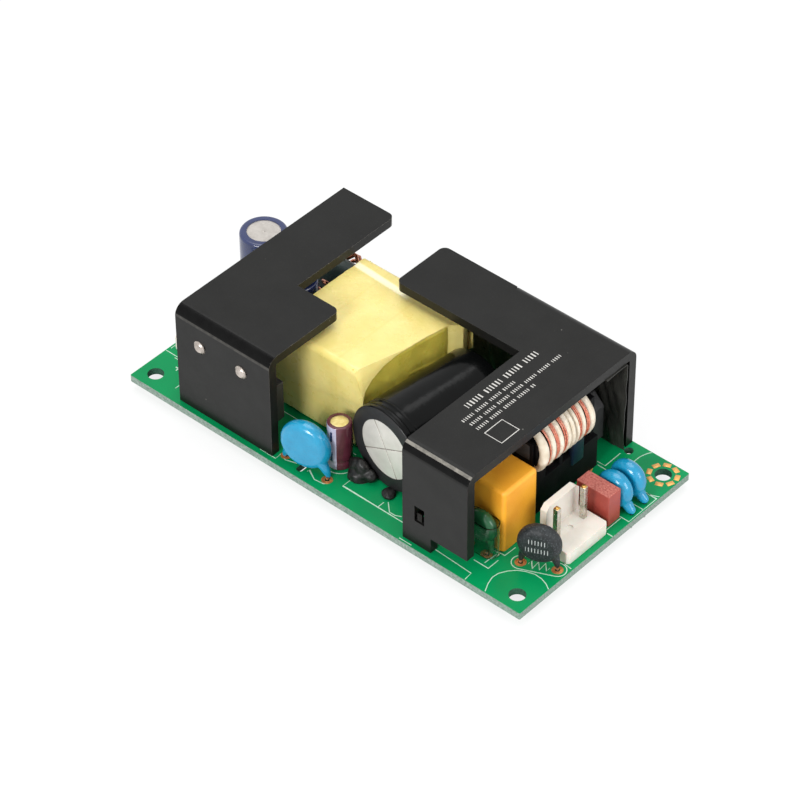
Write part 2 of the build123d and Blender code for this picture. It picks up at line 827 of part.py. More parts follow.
def transformer_bobbin():
    """Tube with two flanges and two pin rails."""
    tube_inner = core_post_radius + hair_gap
    tube_outer = tube_inner + bobbin_wall
    floor, ceiling = bobbin_floor(), bobbin_ceiling()
    bobbin = rod(core_x, core_y, floor, ceiling, tube_outer)
    bobbin += rod(core_x, core_y, floor, floor + bobbin_flange, winding_radius)
    bobbin += rod(core_x, core_y, ceiling - bobbin_flange, ceiling, winding_radius)
    for side in (-1, 1):
        outer = core_x + side * rail_reach
        inner = outer - side * rail_width
        y0, y1 = core_y - rail_length / 2, core_y + rail_length / 2
        bobbin += block(min(inner, outer), max(inner, outer), y0, y1, top, floor + bobbin_flange)
        link = core_x + side * (core_post_radius + bobbin_wall)
        ends = (min(link, inner), max(link, inner))
        post_y = (core_y - core_post_radius, core_y + core_post_radius)
        bobbin += block(*ends, *post_y, floor, floor + bobbin_flange)
    bobbin -= rod(core_x, core_y, floor - cut_over, ceiling + cut_over, tube_inner)
    pin_top = top + transformer_pin_depth
    return bobbin - [square_pin(x, y, top - cut_over, pin_top, pin_side) for x, y in transformer_points]


def transformer_winding():
    """The wound copper between the bobbin's flanges, as one ring."""
    z0, z1 = bobbin_floor() + bobbin_flange, bobbin_ceiling() - bobbin_flange
    inner = core_post_radius + hair_gap + bobbin_wall
    bore = rod(core_x, core_y, z0 - cut_over, z1 + cut_over, inner)
    return rod(core_x, core_y, z0, z1, winding_radius) - bore


def tape_band():
    """The outer tape as a rounded block, before it is hollowed."""
    x0, x1 = transformer_x, transformer_end_x + tape_overhang + tape_edge_dip
    y1 = transformer_y + transformer_depth
    band = block(x0, x1, transformer_y, y1, transformer_foot, transformer_top)
    edge = rod(x1 - tape_edge_dip + tape_edge_radius, core_y, 0, plate_top, tape_edge_radius)
    return band - edge


def transformer_tape():
    """Insulating tape round the core, its input-side edge curved and pressed in by the capacitor."""
    band = rounded_x(tape_band(), tape_rounding)
    x0, x1 = transformer_x - cut_over, transformer_end_x + tape_overhang + tape_edge_dip + cut_over
    y0, y1 = transformer_y + tape_thickness, transformer_y + transformer_depth - tape_thickness
    hollow = block(x0, x1, y0, y1, transformer_foot + tape_thickness, transformer_top - tape_thickness)
    hollow = rounded_x(hollow, tape_inner_rounding)
    band -= hollow
    press = Cylinder(bulk_radius + tape_press_gap, bulk_length + 2 * cut_over)
    band -= bulk_frame() * Pos(0, 0, bulk_length / 2) * press
    rail_top = bobbin_floor() + bobbin_flange
    band -= block(x0, core_x - core_width / 2, y0 - cut_over, y1 + cut_over, 0, rail_top)
    return band - block(core_x + core_width / 2, x1, y0 - cut_over, y1 + cut_over, 0, rail_top)


def transformer_end_wraps():
    """Folded tape over the winding at the band's two open ends."""
    z0, z1 = bobbin_floor() + bobbin_flange, transformer_top - tape_thickness
    y0, y1 = transformer_y + tape_thickness, transformer_y + transformer_depth - tape_thickness
    wraps = []
    for side in (-1, 1):
        face = core_x + side * (transformer_span / 2 - wrap_inset)
        panel = block(face - side * tape_thickness, face, y0, y1, z0, z1)
        roof = panel.edges().filter_by(Axis.X).group_by(Axis.Z)[-1]
        wraps.append(fillet(roof, tape_inner_rounding))
    return group(wraps)


def transformer_pins():
    """Square pins of the transformer."""
    pin_top = top + transformer_pin_depth
    return group([square_pin(x, y, 0, pin_top, pin_side) for x, y in transformer_points])


def bulk_can_shape(radius, inset):
    """The bulk capacitor's outline at one radius, set in from both ends."""
    can = Pos(0, 0, bulk_length / 2) * Cylinder(radius, bulk_length - 2 * inset)
    return fillet(can.edges(), sleeve_edge_radius)


def bulk_capacitor_can():
    """The sealed can, with the pressed cross on its vent."""
    can = bulk_can_shape(bulk_radius - sleeve_thickness, sleeve_thickness)
    for turn in (0, 90):
        bar = Rot(0, 0, turn + vent_turn) * Box(vent_groove, bulk_vent_radius * 2, vent_groove)
        can -= Pos(0, 0, sleeve_thickness) * bar
    return bulk_frame() * can


def bulk_capacitor_sleeve():
    """The shrunk sleeve, open over the vent and over the lead end."""
    inside = bulk_can_shape(bulk_radius - sleeve_thickness, sleeve_thickness)
    sleeve = bulk_can_shape(bulk_radius, 0) - inside
    sleeve -= Cylinder(bulk_vent_radius, 2 * cut_over)
    sleeve -= Pos(0, 0, bulk_length) * Cylinder(bulk_radius - bulk_rim_width, 2 * cut_over)
    ring = Cylinder(bulk_radius + cut_over, bulk_groove_width)
    ring -= Cylinder(bulk_radius - bulk_groove_depth, bulk_groove_width)
    sleeve -= Pos(0, 0, bulk_groove_place) * ring
    return bulk_frame() * sleeve


def bulk_leads():
    """The bulk capacitor's leads, out of its far end and down into the board."""
    leads = []
    for x, y in bulk_lead_points():
        back = bulk_lead_reach + sleeve_thickness
        dx, dy = math.sin(math.radians(bulk_yaw)) * back, math.cos(math.radians(bulk_yaw)) * back
        run = strut((x - dx, y - dy, bulk_z), (x, y, bulk_z), round_lead_radius)
        elbow = Pos(x, y, bulk_z) * Sphere(round_lead_radius)
        leads.append(run + elbow + rod(x, y, 0, bulk_z, round_lead_radius))
    return leads


def bulk_capacitor_adhesive():
    """Blob of adhesive between the board and the bulk capacitor's near end."""
    x = bias_x + bias_radius + adhesive_radius + seat_gap
    y = bulk_y - adhesive_tuck
    reach = adhesive_radius + cut_over
    blob = Pos(x, y, top) * Sphere(adhesive_radius)
    blob &= block(x - reach, x + reach, y - reach, y + reach, top, top + reach)
    return blob - bulk_frame() * bulk_can_shape(bulk_radius, 0)


def upright_can(x, y, radius, height):
    """The metal can of an upright electrolytic capacitor."""
    can = Pos(0, 0, height / 2) * Cylinder(radius - sleeve_thickness, height - 2 * sleeve_thickness)
    can = fillet(can.edges(), radius * can_rim_share)
    return Pos(x, y, top) * can


def upright_sleeve(x, y, radius, height):
    """The shrunk sleeve of an upright capacitor, rolled over its rim."""
    outer = Pos(0, 0, height / 2) * Cylinder(radius, height)
    outer = fillet(outer.edges(), radius * can_rim_share + sleeve_thickness)
    inner = Pos(0, 0, height / 2) * Cylinder(radius - sleeve_thickness, height - 2 * sleeve_thickness)
    inner = fillet(inner.edges(), radius * can_rim_share)
    end = Cylinder(radius * can_opening_share, 2 * cut_over)
    ends = end + Pos(0, 0, height) * end
    return Pos(x, y, top) * (outer - inner - ends)


def can_leads(points):
    """Straight leads under an upright can."""
    return [rod(x, y, 0, top + sleeve_thickness, round_lead_radius) for x, y in points]


def capacitor_leads():
    """Leads of all the electrolytic capacitors."""
    small = [rod(x, y, 0, top + sleeve_thickness, disc_lead_radius) for x, y in bias_points]
    return group(bulk_leads() + can_leads(output_can_points) + can_leads(filter_can_points) + small)


def disc_part(x, y, lift, radius, thickness, turn, points):
    """A dipped disc standing on edge, with its coating run down on to both leads."""
    z = top + lift + radius
    disc = fillet(Cylinder(radius, thickness).edges(), thickness * disc_edge_share)
    body = Pos(x, y, z) * Rot(0, 0, turn) * Rot(90, 0, 0) * disc
    for end_x, end_y in points:
        share = min(1, radius * coat_reach_share / math.hypot(end_x - x, end_y - y))
        start = (x + (end_x - x) * share, y + (end_y - y) * share, z - radius * coat_drop_share)
        foot = (end_x, end_y, top + seat_gap + coat_radius * coat_foot_share)
        body += strut(start, foot, coat_radius)
    return body


def disc_leads(points, body):
    """Round leads that start in a disc's coating and end at the board's underside."""
    return [rod(x, y, 0, top + seat_gap * lead_reach_share, disc_lead_radius) - body for x, y in points]


def isolation_capacitor():
    """The blue disc at the near edge."""
    return disc_part(
        isolator_x, isolator_y, isolator_lift, isolator_radius, isolator_thickness, isolator_turn,
        isolator_points,
    )


def line_capacitor(index):
    """One of the two blue discs beside the fuse."""
    return disc_part(
        line_disc_x, line_disc_ys[index], line_disc_lift, line_disc_radius, line_disc_thickness, 0,
        line_disc_points[index],
    )


def thermistor_body():
    """The inrush limiter's black disc."""
    return disc_part(
        *thermistor_place, thermistor_lift, thermistor_radius, thermistor_thickness, thermistor_turn,
        thermistor_points,
    )


def varistor_body():
    """The surge absorber's green disc."""
    return disc_part(
        varistor_x, varistor_y, varistor_lift, varistor_radius, varistor_thickness, 0, varistor_points
    )


def oval_tube(half_length, half_depth, height):
    """An upright bar with a long round-ended section."""
    bar = Box(2 * half_length, 2 * half_depth, height)
    return fillet(bar.edges().filter_by(Axis.Z), half_depth * tube_round_share)


def varistor_tube():
    """Clear tube shrunk round the varistor."""
    half_length = varistor_radius + tube_clearance + tube_wall
    height = varistor_lift + varistor_radius * tube_height_share - tube_foot
    tube = oval_tube(half_length, tube_half_depth, height)
    tube -= oval_tube(half_length - tube_wall, tube_half_depth - tube_wall, height + cut_over)
    return Pos(varistor_x, varistor_y, top + tube_foot + height / 2) * tube


def suppression_capacitor():
    """Boxed film capacitor across the mains."""
    x0, y0 = suppressor_x, suppressor_y
    box = block(x0, x0 + suppressor_length, y0, y0 + suppressor_width, top, top + suppressor_height)
    upright = box.edges().filter_by(Axis.Z)
    roof = box.edges().group_by(Axis.Z)[-1]
    return fillet(upright + roof, suppressor_edge_radius)


def fuse_body():
    """Boxed fuse."""
    x0, x1 = fuse_x - fuse_length / 2, fuse_x + fuse_length / 2
    y0, y1 = fuse_y - fuse_width / 2, fuse_y + fuse_width / 2
    box = block(x0, x1, y0, y1, top, top + fuse_height)
    return fillet(box.edges().filter_by(Axis.Z) + box.edges().group_by(Axis.Z)[-1], fuse_edge_radius)


def header_housing(x0, y0, length, points, wall_high_x):
    """A crimp header's housing: a base block and a friction wall with cut corners."""
    base = block(x0, x0 + header_depth, y0, y0 + length, top, top + header_base)
    base = chamfer(base.edges().filter_by(Axis.Z), header_base_chamfer)
    if wall_high_x:
        wall_x0 = x0 + header_depth - header_wall_inset - header_wall
    else:
        wall_x0 = x0 + header_wall_inset
    wall_ends = (y0 + header_wall_end, y0 + length - header_wall_far_gap)
    wall = block(wall_x0, wall_x0 + header_wall, *wall_ends, top, top + header_wall_height)
    corners = wall.edges().filter_by(Axis.X).group_by(Axis.Z)[-1]
    housing = base + chamfer(corners, header_wall_chamfer)
    bore_top = top + header_base + cut_over
    return housing - [square_pin(x, y, top - cut_over, bore_top, header_pin_side) for x, y in points]


def input_header_housing():
    """Mains input header, its middle place empty and dimpled."""
    housing = header_housing(
        input_header_x, input_header_y, input_header_length, input_header_points, False
    )
    roof = top + header_base
    middle_y = input_header_y + input_header_length / 2
    return housing - rod(header_pin_x, middle_y, roof - dimple_depth, roof + cut_over, dimple_radius)


def output_header_housing():
    """Output header, its wall towards the heatsink."""
    return header_housing(
        output_header_x, output_header_y, output_header_length, output_header_points, True
    )


def header_pins(points):
    """Square header pins with chamfered tips."""
    pins = []
    for x, y in points:
        pin = square_pin(x, y, 0, top + header_pin_height, header_pin_side)
        pins.append(chamfer(pin.edges().group_by(Axis.Z)[-1], header_pin_chamfer))
    return group(pins)


def choke_ys():
    """Places of the choke's thick turns along the rod."""
    pitch = choke_wire + choke_turn_gap
    return [choke_mid_y + (index - (choke_turns - 1) / 2) * pitch for index in range(choke_turns)]


def hoop(y, major, minor):
    """One closed turn round the choke's rod."""
    return Pos(choke_x, y, choke_z) * Rot(90, 0, 0) * Torus(major, minor)


def choke_insulated_winding():
    """Thick insulated turns, side by side along the rod."""
    return group([hoop(y, choke_loop_radius - loop_wire_radius, loop_wire_radius) for y in choke_ys()])


def choke_bare_winding():
    """Thin enamelled turns that lie in the grooves between the thick ones."""
    half_pitch = (choke_wire + choke_turn_gap) / 2
    reach = math.sqrt((loop_wire_radius + strand_radius + strand_gap) ** 2 - half_pitch**2)
    major = choke_loop_radius - loop_wire_radius + reach
    return group([hoop(y + half_pitch, major, strand_radius) for y in choke_ys()[:-1]])


def choke_core():
    """Square ferrite rod inside the turns."""
    half = choke_rod / 2
    rod_box = block(
        choke_x - half, choke_x + half, choke_y, choke_y + choke_length, choke_z - half, choke_z + half
    )
    return fillet(rod_box.edges().filter_by(Axis.Y), rod_edge_radius)


def choke_base():
    """Black base with an upright cheek at each end, and the former that holds the rod between them."""
    half, half_cheek, half_former = choke_base_width / 2, choke_cheek_width / 2, choke_former / 2
    y0, y1 = choke_y, choke_y + choke_length
    base = block(choke_x - half, choke_x + half, y0, y1, top, top + choke_base_height)
    roof = choke_z + half_cheek
    for cheek_y in (y0, y1 - choke_cheek):
        cheek_x = (choke_x - half_cheek, choke_x + half_cheek)
        base += block(*cheek_x, cheek_y, cheek_y + choke_cheek, top, roof)
    former_z = (choke_z - half_former, choke_z + half_former)
    former = block(
        choke_x - half_former, choke_x + half_former, y0 + choke_cheek, y1 - choke_cheek, *former_z
    )
    base += fillet(former.edges().filter_by(Axis.Y), rod_edge_radius)
    base -= [square_pin(x, y, top - cut_over, top + choke_pin_depth, pin_side) for x, y in choke_points]
    return base - choke_core()


def choke_pins():
    """Square pins of the choke."""
    return group([square_pin(x, y, 0, top + choke_pin_depth, pin_side) for x, y in choke_points])


def ring_section(outer, inner, width):
    """A plain ring about X, centred on the output inductor."""
    ring = Cylinder(outer, width) - Cylinder(inner, width + cut_over)
    return Pos(inductor_x, inductor_y, inductor_z) * Rot(0, 90, 0) * ring


def output_inductor_core():
    """Painted ring core, standing on edge."""
    ring = ring_section(inductor_outer, inductor_inner, inductor_width)
    return fillet(ring.edges().filter_by(GeomType.CIRCLE), inductor_edge_radius)


def output_inductor_winding():
    """Copper winding round the ring, with a bare sector at the top and two leads."""
    outer = inductor_outer + inductor_wire
    winding = ring_section(outer, inductor_inner - inductor_wire, inductor_width + 2 * inductor_wire)
    winding = fillet(winding.edges().filter_by(GeomType.CIRCLE), inductor_wire * winding_edge_share)
    centre = Vector(inductor_x, inductor_y, inductor_z)
    half = math.radians(inductor_gap_angle / 2)
    reach = outer * 2
    side, height = reach * math.sin(half), reach * math.cos(half)
    wedge_edge = Polyline((0, 0), (side, height), (-side, height), close=True)
    across = Plane(origin=centre, x_dir=(0, 1, 0), z_dir=(1, 0, 0))
    wedge = extrude(across * make_face(wedge_edge), outer, both=True)
    winding -= wedge
    for x, y in inductor_points:
        winding += rod(x, y, 0, inductor_z - inductor_outer * inductor_lead_share, inductor_wire / 2)
    return winding - output_inductor_core()


def insulating_film():
    """Thin film in front of the far wall, folded under the top plate."""
    x1 = input_sink_end + film_end_overhang
    x0 = x1 - film_width
    roof = plate_bottom - film_top_gap
    sheet = block(x0, x1, film_y, film_y + film_thickness, top, roof)
    sheet += block(x0, x1, film_y - film_flange, film_y + film_thickness, roof - film_thickness, roof)
    return sheet


def optocoupler_body():
    """Feedback coupler that bridges the isolation gap."""
    x0, x1 = opto_x - opto_length / 2, opto_x + opto_length / 2
    y0, y1 = opto_y - opto_width / 2, opto_y + opto_width / 2
    z0 = top + opto_lift
    body = block(x0, x1, y0, y1, z0, z0 + opto_height)
    return chamfer(body.edges().group_by(Axis.Z)[-1], small_chamfer)


def optocoupler_leads():
    """Bent leads on both sides of the coupler."""
    leads = []
    shoulder = top + opto_lift + opto_height / 2
    half = opto_lead_thickness / 2
    for x, y in opto_points:
        y0, y1 = y - lead_thickness / 2, y + lead_thickness / 2
        post = block(x - half, x + half, y0, y1, 0, shoulder + half)
        side = 1 if x > opto_x else -1
        edge = opto_x + side * opto_length / 2
        arm = block(min(edge, x), max(edge, x), y0, y1, shoulder - half, shoulder + half)
        leads.append(post + arm)
    return group(leads)


def controller_chip():
    """Switching controller on the board's underside."""
    x, y = bulk_x + controller_shift, core_y - controller_length
    body = Pos(x, y, -controller_height / 2) * Box(controller_length, controller_width, controller_height)
    return chamfer(body.edges().group_by(Axis.Z)[0], small_chamfer)


def chip_parts():
    """Chip resistors and capacitors in two rows on the underside."""
    chips = []
    for row_x in (core_x, bulk_x + bulk_radius):
        for x, y in row_points(row_x, core_y, chips_per_row, chip_row_pitch, False):
            chips.append(Pos(x, y, -chip_height / 2) * Box(chip_length, chip_width, chip_height))
    return group(chips)


def suppression_capacitor_leads():
    """Leads of the boxed capacitor."""
    return [rod(x, y, 0, top, round_lead_radius) for x, y in suppressor_points]


def input_part_leads():
    """Leads of the fuse, the film capacitor, the varistor and the thermistor."""
    leads = [rod(x, y, 0, top, disc_lead_radius) for x, y in fuse_points]
    leads += suppression_capacitor_leads()
    leads += disc_leads(varistor_points, varistor_body())
    leads += disc_leads(thermistor_points, thermistor_body())
    return group(leads)


def disc_capacitor_leads():
    """Leads of the three blue disc capacitors."""
    leads = disc_leads(isolator_points, isolation_capacitor())
    for index in (0, 1):
        leads += disc_leads(line_disc_points[index], line_capacitor(index))
    return group(leads)


nodes = {
    "circuit_board": circuit_board(),
    "solder_joints": solder_joints(),
    "output_heatsink": output_heatsink(),
    "input_heatsink": input_heatsink(),
    "heatsink_pins": heatsink_pins(),
    "rectifier_screws": rectifier_screws(),
    "rectifier_bushings": rectifier_bushings(),
    "rectifier_pads": rectifier_pads(),
    "rectifier_bodies": rectifier_bodies(),
    "rectifier_leadframes": rectifier_leadframes(),
    "transistor_body": package_body(transistor_x, transistor_foot),
    "transistor_leadframe": transistor_leadframe(),
    "transistor_pad": insulating_pad(
        transistor_x, transistor_foot, transistor_foot + tabless_height
    ),
    "transistor_clip": transistor_clip(),
    "bridge_rectifier_body": bridge_rectifier_body(),
    "bridge_rectifier_leads": bridge_rectifier_leads(),
    "transformer_lower_core": core_half(False),
    "transformer_upper_core": core_half(True),
    "transformer_bobbin": transformer_bobbin(),
    "transformer_winding": transformer_winding(),
    "transformer_tape": transformer_tape(),
    "transformer_end_wraps": transformer_end_wraps(),
    "transformer_pins": transformer_pins(),
    "bulk_capacitor_can": bulk_capacitor_can(),
    "bulk_capacitor_sleeve": bulk_capacitor_sleeve(),
    "bulk_capacitor_adhesive": bulk_capacitor_adhesive(),
    "bias_capacitor_can": upright_can(bias_x, bias_y, bias_radius, bias_height),
    "bias_capacitor_sleeve": upright_sleeve(bias_x, bias_y, bias_radius, bias_height),
    "output_capacitor_can": upright_can(output_can_x, output_can_y, output_can_radius, output_can_height),
    "output_capacitor_sleeve": upright_sleeve(
        output_can_x, output_can_y, output_can_radius, output_can_height
    ),
    "filter_capacitor_can": upright_can(filter_can_x, filter_can_y, filter_can_radius, filter_can_height),
    "filter_capacitor_sleeve": upright_sleeve(
        filter_can_x, filter_can_y, filter_can_radius, filter_can_height
    ),
    "capacitor_leads": capacitor_leads(),
    "isolation_capacitor": isolation_capacitor(),
    "line_capacitor_front": line_capacitor(0),
    "line_capacitor_rear": line_capacitor(1),
    "disc_capacitor_leads": disc_capacitor_leads(),
    "suppression_capacitor": suppression_capacitor(),
    "varistor_body": varistor_body(),
    "varistor_tube": varistor_tube(),
    "thermistor_body": thermistor_body(),
    "fuse_body": fuse_body(),
    "input_part_leads": input_part_leads(),
    "input_header_housing": input_header_housing(),
    "input_header_pins": header_pins(input_header_points),
    "output_header_housing": output_header_housing(),
    "output_header_pins": header_pins(output_header_points),
    "choke_core": choke_core(),
    "choke_base": choke_base(),
    "choke_insulated_winding": choke_insulated_winding(),
    "choke_bare_winding": choke_bare_winding(),
    "choke_pins": choke_pins(),
    "output_inductor_core": output_inductor_core(),
    "output_inductor_winding": output_inductor_winding(),
    "insulating_film": insulating_film(),
    "optocoupler_body": optocoupler_body(),
    "optocoupler_leads": optocoupler_leads(),
    "controller_chip": controller_chip(),
    "chip_parts": chip_parts(),
}

os.makedirs("parts", exist_ok=True)
for name, shape in nodes.items():
    export_step(shape, f"parts/{name}.step")
print(f"board {board_length:.2f} by {board_width:.2f} mm, {len(nodes)} nodes")
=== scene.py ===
import json
import math

import bmesh
import bpy
from mathutils import Matrix, Vector, noise


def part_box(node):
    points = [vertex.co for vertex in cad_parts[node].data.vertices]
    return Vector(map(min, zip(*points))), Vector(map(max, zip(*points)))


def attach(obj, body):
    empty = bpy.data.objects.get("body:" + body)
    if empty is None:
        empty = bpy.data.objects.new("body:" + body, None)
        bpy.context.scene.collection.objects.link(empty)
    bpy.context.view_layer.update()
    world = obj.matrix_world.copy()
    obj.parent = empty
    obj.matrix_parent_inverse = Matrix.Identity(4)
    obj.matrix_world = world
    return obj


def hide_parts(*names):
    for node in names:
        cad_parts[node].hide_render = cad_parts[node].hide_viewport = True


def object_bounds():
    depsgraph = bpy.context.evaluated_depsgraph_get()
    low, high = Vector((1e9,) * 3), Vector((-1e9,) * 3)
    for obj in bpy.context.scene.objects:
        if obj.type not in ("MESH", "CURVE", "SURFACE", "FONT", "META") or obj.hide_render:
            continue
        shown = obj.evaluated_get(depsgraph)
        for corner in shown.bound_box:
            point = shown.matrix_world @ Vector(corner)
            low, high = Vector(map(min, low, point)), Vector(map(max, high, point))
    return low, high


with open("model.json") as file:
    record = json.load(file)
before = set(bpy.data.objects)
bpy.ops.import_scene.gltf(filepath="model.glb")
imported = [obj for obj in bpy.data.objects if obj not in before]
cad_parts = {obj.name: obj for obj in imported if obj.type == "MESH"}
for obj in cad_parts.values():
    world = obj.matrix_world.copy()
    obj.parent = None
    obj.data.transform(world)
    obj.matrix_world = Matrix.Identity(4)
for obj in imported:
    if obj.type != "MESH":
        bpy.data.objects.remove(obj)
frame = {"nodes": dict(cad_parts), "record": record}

# One-board mains power supply. Sizes in the dictionaries are millimetres, angles are degrees.
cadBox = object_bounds()
mm = 0.001
cadNodes = frame["nodes"]
keepTriangles = ("input_header_housing", "output_header_housing")
collection = bpy.context.scene.collection
print("stage 1: frame loaded,", len(cadNodes), "nodes")


# Mesh helpers

def hexColor(text):
    # an sRGB hex colour as the linear colour that a shader takes
    values = [int(text[i:i + 2], 16) / 255 for i in (1, 3, 5)]
    return [v / 12.92 if v <= 0.04045 else ((v + 0.055) / 1.055) ** 2.4 for v in values] + [1.0]


def nodeBox(name):
    # a CAD node's corners in millimetres
    low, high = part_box(name)
    return low / mm, high / mm


def islands(name):
    # the boxes, in millimetres, of the separate solids of one CAD node
    mesh = bmesh.new()
    mesh.from_mesh(cadNodes[name].data)
    bmesh.ops.remove_doubles(mesh, verts=mesh.verts, dist=1e-6)
    seen, boxes = set(), []
    for start in mesh.verts:
        if start in seen:
            continue
        stack, group = [start], []
        seen.add(start)
        while stack:
            vertex = stack.pop()
            group.append(vertex.co / mm)
            for edge in vertex.link_edges:
                other = edge.other_vert(vertex)
                if other not in seen:
                    seen.add(other)
                    stack.append(other)
        low = Vector([min(p[axis] for p in group) for axis in range(3)])
        high = Vector([max(p[axis] for p in group) for axis in range(3)])
        boxes.append((low, high))
    mesh.free()
    return sorted(boxes, key=lambda pair: tuple(round(v, 3) for v in pair[0]))


def newPiece(name, points, faces, edges=()):
    # a mesh object from points in millimetres
    mesh = bpy.data.meshes.new(name)
    mesh.from_pydata([Vector(p) * mm for p in points], list(edges), faces)
    mesh.update()
    piece = bpy.data.objects.new(name, mesh)
    collection.objects.link(piece)
    return piece


def tidyNormals(piece, sharpAngle=35, mergeBy=0.0005):
    # merges doubles, turns faces outwards and marks the sharp edges
    mesh = bmesh.new()
    mesh.from_mesh(piece.data)
    bmesh.ops.remove_doubles(mesh, verts=mesh.verts, dist=mergeBy * mm)
    bmesh.ops.recalc_face_normals(mesh, faces=mesh.faces)
    for face in mesh.faces:
        face.smooth = True
    mesh.to_mesh(piece.data)
    mesh.free()
    piece.data.set_sharp_from_angle(angle=math.radians(sharpAngle))
    return piece


def applied(piece):
    # the piece with its modifiers turned into a plain mesh
    bpy.context.view_layer.update()
    graph = bpy.context.evaluated_depsgraph_get()
    mesh = bpy.data.meshes.new_from_object(piece.evaluated_get(graph), preserve_all_data_layers=True,
        depsgraph=graph)
    piece.modifiers.clear()
    old = piece.data
    piece.data = mesh
    if old.users == 0:
        bpy.data.meshes.remove(old)
    return piece


def thickened(piece, thickness, offset=0.0):
    # a thin sheet with its thickness in millimetres
    solid = piece.modifiers.new("film", "SOLIDIFY")
    solid.thickness = thickness * mm
    solid.offset = offset
    return applied(piece)


def bevelled(piece, width, segments, limit=None):
    # rounded edges, all of them or only those sharper than a limit in degrees
    modifier = piece.modifiers.new("edges", "BEVEL")
    modifier.width = width * mm
    modifier.segments = segments
    if limit is not None:
        modifier.limit_method = "ANGLE"
        modifier.angle_limit = math.radians(limit)
    return applied(piece)


def sheetOver(name, points, rows, columns, thickness):
    # a thin sheet over a grid of points that run row by row
    faces = []
    for row in range(rows):
        for column in range(columns):
            first = row * (columns + 1) + column
            faces.append((first, first + 1, first + columns + 2, first + columns + 1))
    return thickened(newPiece(name, points, faces), thickness)


def painted(piece, *names):
    # finishes by name, in the order of the faces' material numbers
    for name in names:
        piece.data.materials.append(finishes[name])
    return piece


def joined(name, pieces):
    # several plain meshes as one, with their materials kept
    mesh = bmesh.new()
    materials = []
    for piece in pieces:
        shift = len(materials)
        materials += list(piece.data.materials) or [None]
        before = len(mesh.faces)
        mesh.from_mesh(piece.data)
        mesh.faces.ensure_lookup_table()
        for face in mesh.faces[before:]:
            face.material_index += shift
    data = bpy.data.meshes.new(name)
    mesh.to_mesh(data)
    mesh.free()
    for material in materials:
        data.materials.append(material)
    for piece in pieces:
        bpy.data.objects.remove(piece)
    result = bpy.data.objects.new(name, data)
    collection.objects.link(result)
    return result


def dress(piece, names=(), replaced=()):
    # finishes and body of a finished piece, and the nodes that it stands for
    painted(piece, *names)
    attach(piece, "root")
    if replaced:
        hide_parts(*replaced)
    return piece


def mergedCopy(node, name, dissolve=True):
    # a copy of a CAD node whose triangles are merged into clean faces
    source = cadNodes[node].data
    piece = newPiece(name, [v.co / mm for v in source.vertices], [list(p.vertices) for p in source.polygons])
    mesh = bmesh.new()
    mesh.from_mesh(piece.data)
    bmesh.ops.remove_doubles(mesh, verts=mesh.verts, dist=0.0005 * mm)
    if dissolve:
        bmesh.ops.dissolve_limit(mesh, angle_limit=math.radians(0.4), verts=mesh.verts, edges=mesh.edges)
    mesh.to_mesh(piece.data)
    mesh.free()
    return piece


def softCopy(node, bevel, segments=2, limit=40):
    # a CAD node's shape with small rounded edges that catch the light
    piece = mergedCopy(node, node + "_shaped", node not in keepTriangles)
    tidyNormals(bevelled(piece, bevel, segments, limit), 50)
    facing = piece.modifiers.new("facing", "WEIGHTED_NORMAL")
    facing.keep_sharp = True
    return applied(piece)


def unionPiece(name, parts, voxel, rounds):
    # overlapping closed meshes as one smooth skin
    piece = joined(name, parts)
    remesh = piece.modifiers.new("skin", "REMESH")
    remesh.mode = "VOXEL"
    remesh.voxel_size = voxel * mm
    smooth = piece.modifiers.new("flow", "SMOOTH")
    smooth.factor = 0.5
    smooth.iterations = rounds
    applied(piece)
    return tidyNormals(piece, 80)


def ball(centre, radii):
    # a closed ellipsoid for a union
    mesh = bmesh.new()
    bmesh.ops.create_icosphere(mesh, subdivisions=2, radius=1.0)
    size = Matrix.Diagonal((*[r * mm for r in radii], 1))
    shape = Matrix.Translation(Vector(centre) * mm) @ size
    bmesh.ops.transform(mesh, matrix=shape, verts=mesh.verts)
    data = bpy.data.meshes.new("ball")
    mesh.to_mesh(data)
    mesh.free()
    piece = bpy.data.objects.new("ball", data)
    collection.objects.link(piece)
    return piece


patchThickness = 0.03


def curvedPatch(name, place, radius, angles, heights, lift=0.015, count=8):
    # a thin patch that lies on a round body, angles in degrees
    points, faces = [], []
    for height in heights:
        for index in range(count + 1):
            angle = math.radians(angles[0] + (angles[1] - angles[0]) * index / count)
            points.append(place @ Vector(((radius + lift) * math.cos(angle),
                (radius + lift) * math.sin(angle), height)))
    for index in range(count):
        faces.append((index, index + 1, count + 2 + index, count + 1 + index))
    piece = thickened(newPiece(name, points, faces), patchThickness)
    return tidyNormals(piece, 30, 0.00001)


def lathe(name, profile, segments, place, materialAt=None, wobble=None):
    # turns a profile of (radius, height) round Z, then moves it by a matrix in millimetres
    points, faces, rings = [], [], []
    for radius, height in profile:
        if radius < 1e-6:
            points.append(Vector((0, 0, height)))
            rings.append([len(points) - 1])
            continue
        ring = []
        for index in range(segments):
            angle = 2 * math.pi * index / segments
            reach = radius + (wobble(angle, height) if wobble else 0)
            points.append(Vector((reach * math.cos(angle), reach * math.sin(angle), height)))
            ring.append(len(points) - 1)
        rings.append(ring)
    faceLooks = []
    for low, high in zip(rings, rings[1:]):
        for index in range(segments):
            after = (index + 1) % segments
            if len(low) == 1 and len(high) == 1:
                continue
            if len(low) == 1:
                face = [low[0], high[index], high[after]]
            elif len(high) == 1:
                face = [low[index], low[after], high[0]]
            else:
                face = [low[index], low[after], high[after], high[index]]
            faces.append(face)
            middle = 2 * math.pi * (index + 0.5) / segments
            faceLooks.append(materialAt(middle, points[face[0]].z) if materialAt else 0)
    piece = newPiece(name, [place @ p for p in points], faces)
    for polygon, look in zip(piece.data.polygons, faceLooks):
        polygon.material_index = look
    return tidyNormals(piece)


